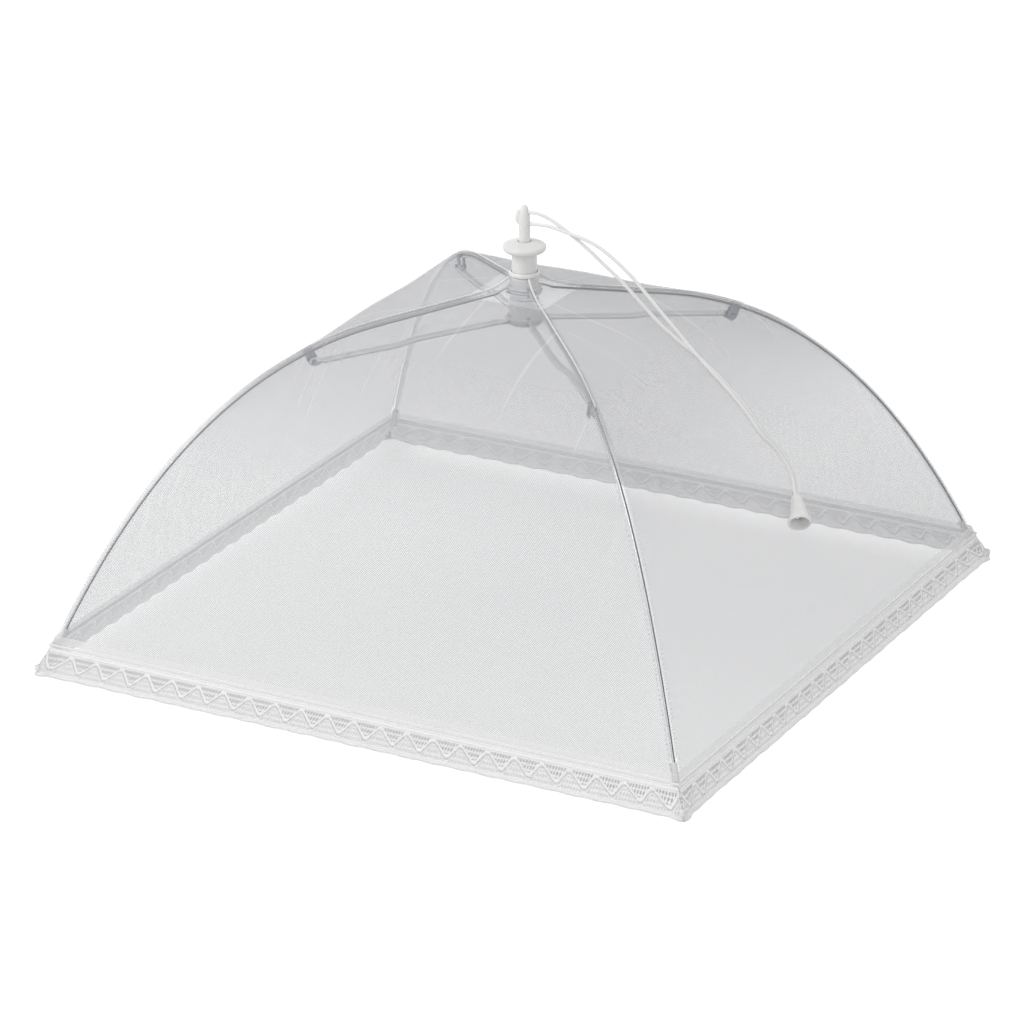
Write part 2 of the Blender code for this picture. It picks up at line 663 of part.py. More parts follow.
def strut_mesh():
    """A channel with an eye round the lower hub's ring, stepped sideways past the bracket to a pierced tongue."""
    length, rise = strut_line()
    width, height, thick = STRUT_HALF_WIDTH, STRUT_HALF_HEIGHT, STRUT_THICK
    section = [
        (-width, -height), (-width, height), (width, height), (width, -height),
        (width - thick, -height), (width - thick, height - thick), (thick - width, height - thick), (thick - width, -height),
    ]
    stop = length - CHANNEL_SHORT_BY
    places = [CHANNEL_FROM, STRUT_STEP_FROM, *np.linspace(STRUT_STEP_FROM, STRUT_STEP_TO, 7)[1:-1], STRUT_STEP_TO, stop]
    sections = []
    for run in places:
        step = STRUT_SIDE_STEP * smooth_share((run - STRUT_STEP_FROM) / (STRUT_STEP_TO - STRUT_STEP_FROM))
        sections.append([(run, step + u, v) for u, v in section])
    channel = lofted("strut", sections, [[0, 1, 6, 7], [1, 2, 5, 6], [2, 3, 4, 5]])
    overlap = thick / 2
    eye = [
        *arc((0, 0), EYE_RADIUS, 90, 270, 13),
        (2 * CHANNEL_FROM, -height + overlap), (2 * CHANNEL_FROM, height - overlap), (CHANNEL_FROM / 2, EYE_RADIUS / 2),
    ]
    eye_plate = prism("eye", eye, -EYE_HALF_THICK, EYE_HALF_THICK, lambda u, v, w: (u, w, v))
    tongue = [
        *arc((length, 0), TONGUE_RADIUS, -90, 90, 13),
        (length - TONGUE_RADIUS, TONGUE_RADIUS), (stop - overlap, height - overlap),
        (stop - TONGUE_OVERLAP, height - overlap), (stop - TONGUE_OVERLAP, -height + overlap),
        (stop - overlap, -height + overlap), (length - TONGUE_RADIUS, -TONGUE_RADIUS),
    ]
    tongue_plate = prism("tongue", tongue, TONGUE_NEAR, TONGUE_NEAR + TONGUE_THICK, lambda u, v, w: (u, w, v))
    ring_hole = round_rod((0, -2 * width, 0), (0, 2 * width, 0), RING_WIRE_RADIUS + RING_PLAY)
    pin_hole = round_rod((length, 0, 0), (length, 4 * width, 0), RIVET_RADIUS + RIVET_PLAY / 2)
    mesh = combined("strut", channel, [
        ("UNION", eye_plate), ("UNION", tongue_plate), ("DIFFERENCE", ring_hole), ("DIFFERENCE", pin_hole),
    ])
    mesh.transform(Matrix.Rotation(-rise, 4, "Y"))
    return mesh


def rivet_head_mesh():
    """The head half of the rivet, which stays in the strut's tongue."""
    length, rise = strut_line()
    near, far = TONGUE_NEAR, TONGUE_NEAR + TONGUE_THICK + BRACKET_PLAY
    profile = [
        (0, near), (RIVET_RADIUS, near), (RIVET_RADIUS, far), (RIVET_HEAD_RADIUS, far),
        (RIVET_HEAD_RADIUS, far + RIVET_HEAD_THICK / 3), (RIVET_HEAD_RADIUS / 2, far + RIVET_HEAD_THICK),
        (0, far + RIVET_HEAD_THICK),
    ]
    at = (length * math.cos(rise), 0, length * math.sin(rise))
    return lathe_to(turned("rivet_head", profile, 16), at, (0, 1, 0))


def build_plunger(white, metal, cord):
    seat = CROWN_BOTTOM_Z - RUNNER_SEAT_GAP
    ring, lips = RUNNER_RING_Z, LIPS_HALF
    runner = [
        (ROD_RADIUS + ROD_FIT, RUNNER_BOTTOM_Z),
        (RUNNER_BODY_RADIUS, RUNNER_BOTTOM_Z),
        (RUNNER_LIP_RADIUS - CHAMFER, ring - lips),
        (RUNNER_LIP_RADIUS, ring - GROOVE_HALF),
        (BODY_RADIUS, ring - GROOVE_HALF),
        (BODY_RADIUS, ring + GROOVE_HALF),
        (RUNNER_LIP_RADIUS, ring + GROOVE_HALF),
        (RUNNER_LIP_RADIUS - CHAMFER, ring + lips),
        (RUNNER_BODY_RADIUS, ring + lips),
        (RUNNER_BODY_RADIUS, seat - CHAMFER),
        (RUNNER_BODY_RADIUS - CHAMFER, seat),
        (ROD_RADIUS + ROD_FIT, seat),
    ]
    slide = pivot("plunger_slide", (0, 0, ring))
    down = Matrix.Translation((0, 0, -ring))
    mesh = combined("runner_hub", turned("runner_hub", runner), [("DIFFERENCE", notches(ring))])
    mesh.transform(down)
    place("runner_hub", mesh, white, slide)
    ring_wire("runner_ring_wire", 0.0, metal, slide)

    foot = RUNNER_BOTTOM_Z - ROD_FIT
    rod = [
        (0, foot - ROD_FOOT_THICK), (ROD_FOOT_RADIUS - CHAMFER, foot - ROD_FOOT_THICK),
        (ROD_FOOT_RADIUS, foot - ROD_FOOT_THICK + CHAMFER), (ROD_FOOT_RADIUS, foot), (ROD_RADIUS, foot),
        (ROD_RADIUS, ROD_CONE_Z), (ROD_NOSE_RADIUS, ROD_NOSE_Z), (ROD_TOP_RADIUS, ROD_TOP_Z), (0, ROD_TOP_Z),
    ]
    way = cord_plane(1.0, 0.0) - cord_plane(0.0, 0.0)
    holes = []
    for height in (CORD_HOLE_LOW_Z, CORD_HOLE_HIGH_Z):
        middle = cord_plane(0.0, height)
        reach = 3 * ROD_RADIUS * way
        holes.append(round_rod(middle - reach, middle + reach, CORD_RADIUS + CORD_HOLE_PLAY))
    mesh = combined("plunger_rod", turned("plunger_rod", rod), [("DIFFERENCE", merged("cord_holes", holes))])
    mesh.transform(down)
    place("plunger_rod", mesh, white, slide)

    middle, half = (CORD_HOLE_LOW_Z + CORD_HOLE_HIGH_Z) / 2, (CORD_HOLE_HIGH_Z - CORD_HOLE_LOW_Z) / 2
    bend = [
        cord_plane(BIGHT_IN - ROD_RADIUS - BIGHT_BULGE * math.cos(a), middle + half * math.sin(a))
        for a in np.linspace(-QUARTER, QUARTER, 13)
    ]
    end = ROD_RADIUS + BIGHT_OUT
    path = [cord_plane(end, CORD_HOLE_LOW_Z), *bend, cord_plane(end, CORD_HOLE_HIGH_Z)]
    bight = tube("cord_bight", path, CORD_RADIUS)
    bight.transform(down)
    place("cord_bight", bight, cord, slide)
    return slide


def cord_plane(out, high):
    """A point of the cord's upright plane."""
    azimuth = math.radians(CORD_AZIMUTH_DEG)
    return Vector((out * math.cos(azimuth), out * math.sin(azimuth), high))


def smooth_line(points, fineness=24):
    """A smooth curve through points: a cubic between each two, its ends aimed by their neighbours."""
    points = [Vector(p) for p in points]
    points = [2 * points[0] - points[1], *points, 2 * points[-1] - points[-2]]
    line = []
    for before, a, b, after in zip(points, points[1:], points[2:], points[3:]):
        for t in np.linspace(0, 1, fineness, endpoint=False):
            line.append(
                0.5 * (2 * a + (b - before) * t + (2 * before - 5 * a + 4 * b - after) * t * t
                       + (3 * a - before - 3 * b + after) * t ** 3)
            )
    return [*line, points[-2]]


def even_points(line, step):
    """Points at an even step along a line, with both of its ends."""
    gaps = [0.0, *(float((b - a).length) for a, b in zip(line, line[1:]))]
    run = np.cumsum(gaps)
    at = np.linspace(0, run[-1], max(2, round(run[-1] / step) + 1))
    return [Vector([float(np.interp(s, run, [p[i] for p in line])) for i in range(3)]) for s in at]


def strand_line(strand, side):
    """One strand from the rod to the bell, beside the other on the net, as (run part, tail part)."""
    top, axis = Vector(BELL_TOP), Vector(BELL_AXIS).normalized()
    end = top + (KNOT_DEPTH - KNOT_RADIUS - CORD_GAP) * axis
    route = [cord_plane(*p) for p in strand] + [Vector(CORD_BEND), *(Vector(p) for p in STRAND_TAIL), top, end]
    line = smooth_line(route)
    ways = [(line[min(i + 1, len(line) - 1)] - line[max(i - 1, 0)]).normalized() for i in range(len(line))]
    apart, split = [], None
    for i, (point, way) in enumerate(zip(line, ways)):
        along = float(np.interp(point.x * math.sqrt(2), OUT, ALONG))
        slope = math.atan(math.sqrt(2) * math.tan(float(np.interp(along, ALONG, SLOPE))))
        normal = Vector((math.sin(slope), 0, math.cos(slope)))
        beside = normal.cross(way).normalized()
        spread = smooth_share((point.x - ROD_RADIUS) / CORD_SPREAD_OVER)
        apart.append(point + side * CORD_PAIR_HALF * spread * beside)
        if split is None and (point - Vector(CORD_BEND)).length < 1e-6:
            split = i
    return apart[: split + 1], apart[split:]


def shortened(line, start=0.0, end=0.0):
    """The line with a little taken off its ends."""
    line = [Vector(p) for p in line]
    for amount, at, beside in ((start, 0, 1), (end, -1, -2)):
        if amount:
            line[at] = line[at] + amount * (line[beside] - line[at]).normalized()
    return line


def cord_curve(name, points, material, parent):
    """A cord as a bevelled curve of straight pieces between close points, in its parent's frame."""
    curve = bpy.data.curves.new(name, "CURVE")
    curve.dimensions = "3D"
    curve.bevel_depth = CORD_RADIUS
    curve.bevel_resolution = 2
    curve.use_fill_caps = True
    spline = curve.splines.new("POLY")
    spline.points.add(len(points) - 1)
    for item, point in zip(spline.points, points):
        item.co = (*(point - parent.location), 1.0)
    curve.materials.append(material)
    item = bpy.data.objects.new(name, curve)
    bpy.context.collection.objects.link(item)
    item.parent = parent
    return item


def build_cord(cord, white):
    eye = pivot("cord_eye", cord_plane(0.0, (CORD_HOLE_LOW_Z + CORD_HOLE_HIGH_Z) / 2))
    bend = pivot("cord_bend", Vector(CORD_BEND))
    for word, strand, side in (("upper", UPPER_STRAND, 1), ("lower", LOWER_STRAND, -1)):
        run, tail = strand_line(strand, side)
        run, tail = even_points(run, CORD_STEP), even_points(tail, CORD_STEP)
        cord_curve(f"cord_strand_{word}", shortened(run, end=CORD_GAP / 2), cord, eye)
        cord_curve(f"cord_end_{word}", shortened(tail, start=CORD_GAP / 2), cord, bend)
    axis = Vector(BELL_AXIS).normalized()
    inner = BELL_MOUTH_RADIUS - BELL_WALL
    profile = [
        (BELL_HOLE_RADIUS, 0.0),
        (BELL_TOP_RADIUS, 0.0),
        (BELL_TOP_RADIUS + CHAMFER, BELL_LENGTH / 6),
        (BELL_MOUTH_RADIUS - 3 * CHAMFER, BELL_LENGTH * 0.75),
        (BELL_MOUTH_RADIUS, BELL_LENGTH - 2 * BELL_WALL),
        (BELL_MOUTH_RADIUS, BELL_LENGTH),
        (inner, BELL_LENGTH),
        (inner - 2 * BELL_WALL, BELL_LENGTH * 0.7),
        (BELL_HOLE_RADIUS + BELL_WALL, BELL_THROAT + BELL_WALL),
        (BELL_HOLE_RADIUS, BELL_THROAT),
    ]
    at = Vector(BELL_TOP) - bend.location
    place("pull_bell", lathe_to(turned("pull_bell", profile), at, axis), white, bend)
    knot = [
        (KNOT_RADIUS * max(0.0, math.sin(a)) if 0 < step < 8 else 0, KNOT_DEPTH - KNOT_RADIUS * math.cos(a))
        for step, a in enumerate(np.linspace(0, math.pi, 9))
    ]
    place("cord_knot", lathe_to(turned("cord_knot", knot, 16), at, axis), cord, bend)


def main():
    clear_scene()
    bpy.context.scene.unit_settings.scale_length = 1.0
    white = finish("white_plastic", (0.86, 0.86, 0.84), 0.35)
    nickel = finish("nickel_wire", (0.72, 0.73, 0.75), 0.22, 1.0)
    zinc = finish("zinc_steel", (0.50, 0.55, 0.60), 0.35, 1.0)
    net = finish("white_net", (0.92, 0.93, 0.95), 0.6)
    lace = finish("white_lace", (0.93, 0.93, 0.92), 0.7)
    tape = finish("white_tape", (0.88, 0.89, 0.91), 0.6)
    cord = finish("white_cord", (0.90, 0.90, 0.88), 0.65)

    build_crown(white)
    ring_wire("crown_ring_wire", CROWN_RING_Z, zinc)
    build_net(net, lace, tape)
    slide = build_plunger(white, zinc, cord)

    rib_parts = (
        ("rib_wire", rib_wire_mesh(), nickel),
        ("rib_bracket", bracket_mesh(), zinc),
        ("rivet_tail", rivet_tail_mesh(), zinc),
        ("seam_tape", tape_mesh(), tape),
        ("tip_cap", tip_cap_mesh(), white),
    )
    strut_parts = (("strut", strut_mesh(), zinc), ("rivet_head", rivet_head_mesh(), zinc))
    for quarter, corner in enumerate(CORNERS):
        turn = (quarter + 0.5) * QUARTER
        out = Vector((math.cos(turn), math.sin(turn), 0)) * RING_RADIUS
        hinge = pivot(f"rib_{corner}_hinge", out + Vector((0, 0, CROWN_RING_Z)), turn)
        for word, mesh, material in rib_parts:
            place(f"{word}_{corner}", mesh, material, hinge)
        hinge = pivot(f"strut_{corner}_hinge", out, turn)
        hinge.parent = slide
        for word, mesh, material in strut_parts:
            place(f"{word}_{corner}", mesh, material, hinge)
    build_cord(cord, white)


main()
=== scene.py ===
"""The looks of a square pop-up food cover, built around its packed CAD frame.

The cover stands open on its lace hem. Four bent wire ribs hang from a moulded crown, four channel struts
run out to them from a lower hub, and a sheer net is stretched over them. A looped cord on the plunger's tip
lies down one side of the net to its bell. Metres, +Z up, hem on z = 0, the front facing -Y.

Words used here: along is a place on a rib's wire from its hook; out is the distance from the upright axis;
a corner's frame has its rib on the diagonal x = y, and is then turned by quarters; the weave UV map is in
metres.
"""

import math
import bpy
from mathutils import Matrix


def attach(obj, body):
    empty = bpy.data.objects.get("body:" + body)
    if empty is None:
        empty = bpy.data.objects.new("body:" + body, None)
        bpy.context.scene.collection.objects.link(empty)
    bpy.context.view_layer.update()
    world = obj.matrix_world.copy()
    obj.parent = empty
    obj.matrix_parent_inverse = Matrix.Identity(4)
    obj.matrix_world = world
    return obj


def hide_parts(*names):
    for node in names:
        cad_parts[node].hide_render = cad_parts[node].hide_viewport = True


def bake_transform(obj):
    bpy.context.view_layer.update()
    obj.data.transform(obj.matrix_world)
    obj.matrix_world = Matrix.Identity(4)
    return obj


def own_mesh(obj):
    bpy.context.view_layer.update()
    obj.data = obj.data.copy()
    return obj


bl_info = {
    "name": "Mesh Food Cover",
    "version": (1, 0, 0),
    "blender": (4, 5, 0),
    "location": "3D View > Sidebar > Food Cover",
    "description": "Builds the net, lace, wires, hubs and pull cord of a pop-up food cover on its CAD frame",
    "category": "Add Mesh",
}

from contextlib import contextmanager

import bmesh
import bpy
import numpy as np
from bpy.props import FloatProperty, FloatVectorProperty, IntProperty, PointerProperty

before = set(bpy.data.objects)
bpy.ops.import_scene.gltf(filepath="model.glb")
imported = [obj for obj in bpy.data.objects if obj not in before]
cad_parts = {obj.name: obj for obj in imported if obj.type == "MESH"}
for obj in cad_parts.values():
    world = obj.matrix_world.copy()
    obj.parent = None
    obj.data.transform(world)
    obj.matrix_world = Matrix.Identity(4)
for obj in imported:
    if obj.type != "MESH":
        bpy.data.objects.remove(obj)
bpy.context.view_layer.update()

CORNERS = ("back_right", "back_left", "front_left", "front_right")
SIDES = ("right", "back", "left", "front")
DIAGONAL = math.sqrt(2)
# Vertices nearer than this are one; faces within this angle are one flat; edges over this one stay sharp on
# moulded pieces.
MERGE_DISTANCE = 1e-6
FLAT_DEGREES = 1.5
MOULDED_SHARP = 35
BEND = (0.12407, 0.01523, 0.1170)
# Where the painted dark reflection line of each rib's wire starts, in degrees round the wire from its left
# flank, seen from the axis, over its top. It is set rib by rib.
PAINTED_REFLECTION_STARTS = (100.0, 12.0, -68.0, 12.0)

# Each strand's way from the rod, as distance out and height in the cord's upright plane, in metres.
UPPER_STRAND = (
    (0.0033, 0.2163), (0.0070, 0.2160), (0.0127, 0.2138), (0.0225, 0.2080), (0.0311, 0.2019),
    (0.0397, 0.1950), (0.0519, 0.1848), (0.0606, 0.1764), (0.0716, 0.1660), (0.0827, 0.1576),
    (0.0912, 0.1518), (0.1010, 0.1438), (0.1110, 0.1341), (0.1180, 0.1261),
)
LOWER_STRAND = (
    (0.0033, 0.2103), (0.0070, 0.2106), (0.0139, 0.2106), (0.0225, 0.2086), (0.0323, 0.2061),
    (0.0408, 0.2024), (0.0494, 0.1962), (0.0568, 0.1899), (0.0641, 0.1823), (0.0727, 0.1730),
    (0.0813, 0.1640), (0.0886, 0.1562), (0.0960, 0.1488), (0.1035, 0.1416), (0.1110, 0.1341),
    (0.1180, 0.1261),
)
# Both strands' way from the bend to the bell.
STRAND_TAIL = (
    (0.1293, 0.0192, 0.1097), (0.1343, 0.0216, 0.1020), (0.1389, 0.0206, 0.0946), (0.1424, 0.0157, 0.0904),
)
BELL_TOP = (0.1450, 0.0120, 0.0881)
BELL_AXIS = (0.451, -0.741, -0.497)

# The out and up parts of the direction square to the cord's chord.
CORD_CHORD_NORMAL = (0.610, 0.792)

# How deep the stretched net hollows, and how far its top edge's outer face stands over its inside.
NET_HOLLOW = 0.0006
NET_TOP_OFFSET = 0.0006
TAPE_THICKNESS = 0.00012
# Height down to which the area of a half gore is counted.
CUT_LINE = 0.0165
# Fall of a strut's line over its run outwards.
STRUT_FALL = 0.1
ROD_ROUNDING = 0.00022
# Of each refined fitting: its CAD node, its piece, its finish, its slot and the rounding of its edges.
RIB_FITTINGS = (
    ("rib_bracket", "bracket", "zinc", "zinc_steel", 0.00006),
    ("rivet_tail", "rivet_foot", "zinc", "zinc_steel", 0.00008),
    ("tip_cap", "cap", "plastic", "white_plastic", 0.00015),
)
STRUT_FITTINGS = (
    ("strut", "channel", "steel", "zinc_steel", 0.00006),
    ("rivet_head", "rivet_button", "zinc", "zinc_steel", 0.00008),
)


def length(name, description, default, low=0.0, high=1.0):
    """A size in metres that a user can change."""
    return FloatProperty(name=name, description=description, default=default, min=low, max=high,
                         precision=5, unit="LENGTH")


def angle(name, description, degrees):
    return FloatProperty(name=name, description=description, default=math.radians(degrees), subtype="ANGLE")


def share(name, description, default, high=1.0):
    return FloatProperty(name=name, description=description, default=default, min=0.0, max=high,
                         subtype="FACTOR")


def count(name, description, default):
    return IntProperty(name=name, description=description, default=default, min=3, max=512)


def colour(name, description, default):
    return FloatVectorProperty(name=name, description=description, default=default, min=0.0, max=1.0,
                               subtype="COLOR")


class CoverRibs(bpy.types.PropertyGroup):
    """The ribs' line and wire, which carry the rest."""

    rib_length: length("Rib length", "Length of a rib's wire from the crown's ring to its tip", 0.301)
    tip_height: length("Tip height", "Height of a rib's tip over the table", 0.0143705)
    crown_slope: angle("Crown slope", "Slope of a rib where it leaves the crown", 9.4)
    far_slope: angle("Far slope", "Slope that a rib bends towards", 70.0)
    bend_from: length("Bend from", "Place along a rib where it starts to bend", 0.068)
    bend_over: length("Bend over", "Run over which most of the bend lies", 0.170)
    wire_radius: length("Wire radius", "Radius of a rib's wire", 0.0009)
    hook_wire_radius: length("Hook wire radius", "Radius of the wire where it is swaged down for its hook",
                             0.0006)
    hook_inside: length("Hook inside", "Radius of the hook's inside round the ring", 0.0008)
    swage_from: length("Swage from", "Place where the swaged wire starts to thicken", 0.002)
    swage_to: length("Swage to", "Place where the wire has its full thickness", 0.008)
    ring_radius: length("Ring radius", "Radius of the rings that ribs and struts turn on", 0.008)
    ring_wire_radius: length("Ring wire radius", "Radius of the ring's own wire", 0.0005)
    steps: count("Steps", "Sections along a rib's wire", 150)
    sides: count("Sides", "Sides of a wire", 16)


class CoverNet(bpy.types.PropertyGroup):
    """The net with its seams, hem and lace."""

    thickness: length("Net thickness", "Thickness of the net, knots included", 0.0005)
    over_wire: length("Over wire", "Height of the net's inside over the rib's middle line", 0.00215)
    net_plane: length("Net plane", "Height of the net's middle over the rib's middle line", 0.00245)
    top_half: length("Top half width", "Half the width of the net's opening round the neck", 0.0076)
    top_rise: length("Top rise", "Height of the net's top edge over the crown's ring", 0.0069)
    rise_over: length("Rise over", "Run over which the net climbs to the neck", 0.0119)
    rise_power: FloatProperty(name="Rise power", description="How sharply the net climbs to the neck",
                              default=2.2)
    neck_half: length("Neck radius", "Radius of the net's round edge under the clamp ring", 0.0077)
    neck_part: length("Neck part", "Place along a rib where the neck part of the net ends", 0.022)
    pitch: length("Mesh pitch", "Distance between the net's threads", 0.00080)
    thread: length("Thread width", "Width of one net thread", 0.00028)
    thread_cover: share("Thread cover", "Share of what lies behind that a thread of clear nylon hides",
                        0.24)
    fuzz_cover: share("Fuzz cover", "Share of what lies behind that the fuzz between the threads hides",
                      0.07)
    seam_band: length("Seam band", "Width of the doubled net beside a seam", 0.0042)
    hem_band: length("Hem band", "Width of the folded net over the lace", 0.0040)
    lace_top: length("Lace top", "Height of the lace's top edge over the table", 0.0141)
    lace_thickness: length("Lace thickness", "Thickness of the lace", 0.0004)
    lace_repeat: length("Lace repeat", "Length of one repeat of the lace", 0.01487)
    scallop: length("Scallop", "Rise of the lace's lower edge between two scallops", 0.0006)
    ruffle: length("Ruffle", "How far the lace's lower edge waves in and out", 0.00025)
    knot_radius: length("Corner knot radius", "Radius of the lace's sewn corner", 0.0017)
    knot_height: length("Corner knot height", "Height of the lace's sewn corner over the table", 0.0032)
    flare: length("Corner flare", "How far the lace's folded corner stands out", 0.0016)
    hem_radius: length("Hem roll radius", "Radius of the corded roll between net and lace", 0.0008)
    sewn_gap: length("Sewn gap", "Gap between net, roll and lace", 0.0003)
    tape_arm: length("Tape arm", "Width of the seam tape on each side of a rib", 0.0032)
    tape_gap: length("Tape gap", "Gap between the tape and the net", 0.0002)
    tape_from: length("Tape from", "Place along a rib where the seam tape starts", 0.014)
    tape_to: length("Tape to", "Place along a rib where the seam tape ends", 0.289)
    roll_radius: length("Seam roll radius", "Radius of the bound seam beside the neck", 0.00065)
    sleeve_to: length("Sleeve to", "Place along a rib where its white bound seam ends", 0.108)


class CoverHubs(bpy.types.PropertyGroup):
    """The crown, the lower hub and the plunger's fittings."""

    bore: length("Bore radius", "Radius of the crown's bore", 0.0033)
    body: length("Body radius", "Radius of a hub under its ring", 0.0071)
    lip: length("Crown lip radius", "Radius of the crown's two lips", 0.0087)
    lip_thick: length("Lip thickness", "Thickness of a lip", 0.0008)
    groove_half: length("Groove half height", "Half the height of the groove that holds a ring", 0.0011)
    crown_foot: length("Crown foot", "Depth of the crown's lower end under its ring", 0.0043)
    neck_foot: length("Neck foot", "Height of the neck's foot over the crown's ring", 0.0070)
    neck: length("Neck radius", "Radius of the neck", 0.0063)
    neck_height: length("Neck height", "Height of the neck", 0.0098)
    flange: length("Flange radius", "Radius of the flange", 0.0109)
    flange_under: length("Flange underside", "Height of the flange's underside", 0.0050)
    flange_cone: length("Flange cone", "Depth of the flange's hollowed cone under its edge", 0.0036)
    flange_over: length("Flange topside", "Height of the flange's topside", 0.0032)
    flange_edge: length("Flange edge", "Half the height of the flange's edge", 0.0007)
    mouth: length("Mouth radius", "Radius of the flat round the bore's mouth", 0.0046)
    edge: length("Edge rounding", "Rounding of a moulded edge", 0.0004)
    slot_half: length("Slot half width", "Half the width of a slot for a hooked end", 0.00095)
    slot_floor: length("Slot floor", "Distance of a slot's floor from the axis", 0.0057)
    clamp_inner: length("Clamp inner radius", "Inner radius of the net's clamp ring", 0.0068)
    clamp_outer: length("Clamp outer radius", "Outer radius of the net's clamp ring", 0.0077)
    clamp_gap: length("Clamp gap", "Gap between the clamp ring and the neck's foot", 0.0004)
    clamp_height: length("Clamp height", "Height of the clamp ring", 0.0022)
    runner_drop: length("Runner drop", "Depth of the lower hub's ring under the crown's ring", 0.0158)
    runner_bore: length("Runner bore", "Radius of the lower hub's bore", 0.0032)
    runner_body: length("Runner body", "Radius of the lower hub's body", 0.0074)
    runner_lip: length("Runner lip", "Radius of the lower hub's lips", 0.0092)
    runner_foot: length("Runner foot", "Depth of the lower hub's end under its ring", 0.0021)
    runner_gap: length("Runner gap", "Gap between the lower hub and the crown", 0.0003)
    round_steps: count("Round steps", "Sections round a quarter of a hub", 28)


class CoverCord(bpy.types.PropertyGroup):
    """The pull cord, its knot and its bell."""

    radius: length("Cord radius", "Radius of the pull cord", 0.0009)
    azimuth: angle("Cord azimuth", "Direction in which the cord leaves the rod", 7.0)
    pair_half: length("Pair half", "Half the distance between the two strands' middles", 0.00105)
    spread_from: length("Spread from", "Distance out where the strands start to part", 0.0029)
    spread_over: length("Spread over", "Run over which the strands part", 0.014)
    bight_out: length("Bight ends", "Distance out of the bight's ends", 0.0030)
    bight_in: length("Bight start", "Distance of the bight's start from the axis", 0.0024)
    bight_bulge: length("Bight bulge", "How far the bight stands out of the rod", 0.0009)
    hole_low: length("Low hole", "Height of the rod's lower cord hole", 0.2103)
    hole_high: length("High hole", "Height of the rod's upper cord hole", 0.2163)
    bell_length: length("Bell length", "Length of the bell", 0.0165)
    bell_hole: length("Bell hole", "Radius of the bell's hole", 0.00215)
    bell_top: length("Bell top radius", "Radius of the bell's top", 0.0027)
    bell_mouth: length("Bell mouth radius", "Radius of the bell's mouth", 0.0058)
    bell_wall: length("Bell wall", "Wall of the bell", 0.0008)
    bell_throat: length("Bell throat", "Depth of the bell's hole", 0.0062)
    knot_radius: length("Knot radius", "Radius of the knot", 0.0026)
    knot_depth: length("Knot depth", "Depth of the knot's middle in the bell", 0.0108)
    steps: count("Steps", "Sections along a strand", 200)
    sides: count("Sides", "Sides of the cord", 16)


class CoverFinishes(bpy.types.PropertyGroup):
    """The colours and the light."""

    plastic: colour("Moulded white", "Colour of the hubs, rod, caps and bell", (0.82, 0.82, 0.81))
    wire: colour("Drawn wire", "Colour of the ribs' nickel wire", (0.64, 0.655, 0.68))
    zinc: colour("Zinc plate", "Colour of the brackets, rivets and rings", (0.20, 0.235, 0.27))
    steel: colour("Strut steel", "Colour of the rolled struts", (0.88, 0.885, 0.895))
    net: colour("Net", "Colour of the net's threads", (0.54, 0.545, 0.56))
    lace: colour("Lace", "Colour of the lace", (0.95, 0.95, 0.955))
    tape: colour("Tape", "Colour of the seam tape and hem", (0.94, 0.94, 0.95))
    cord: colour("Cord", "Colour of the pull cord", (0.93, 0.93, 0.92))
    floor: colour("Floor", "Colour of the floor", (0.90, 0.90, 0.90))
    floor_glow: FloatProperty(name="Floor glow",
                              description="Share of white that the floor shows by itself", default=0.45)
    # The floor's glow under the cover is lower: a painted shadow of the cover.
    painted_shadow_glow: FloatProperty(name="Glow underneath", description="The same share under the cover",
                              default=0.30)
    sky: FloatProperty(name="Sky", description="Strength of the even light from all sides", default=0.62)
    key: FloatProperty(name="Key lamp", description="Power of the large lamp on the left", default=37.0)
    fill: FloatProperty(name="Fill lamp", description="Power of the lamps on the right and behind",
                        default=4.0)


class CoverView(bpy.types.PropertyGroup):
    """The camera, at the photograph's viewing angle."""

    azimuth: angle("Azimuth", "Camera's direction from -Y towards +X", 27.97)
    elevation: angle("Elevation", "Camera's height over the table, as an angle", 22.385)
    distance: length("Distance", "Camera's distance from its target", 2.898, high=20.0)
    target: FloatVectorProperty(name="Target", description="Point on the table in the picture's middle",
                                default=(-0.0698, 0.1184, 0.0), subtype="TRANSLATION")
    lens: FloatProperty(name="Lens", description="Focal length in millimetres", default=192.2)
    sensor: FloatProperty(name="Sensor", description="Sensor width in millimetres", default=36.0)
    floor_depth: length("Floor depth", "Depth of the floor under the lace", 0.0003)
    floor_half: length("Floor half width", "Half the width of the floor", 6.0, high=50.0)


def settings(group):
    return getattr(bpy.context.scene, f"cover_{group}")


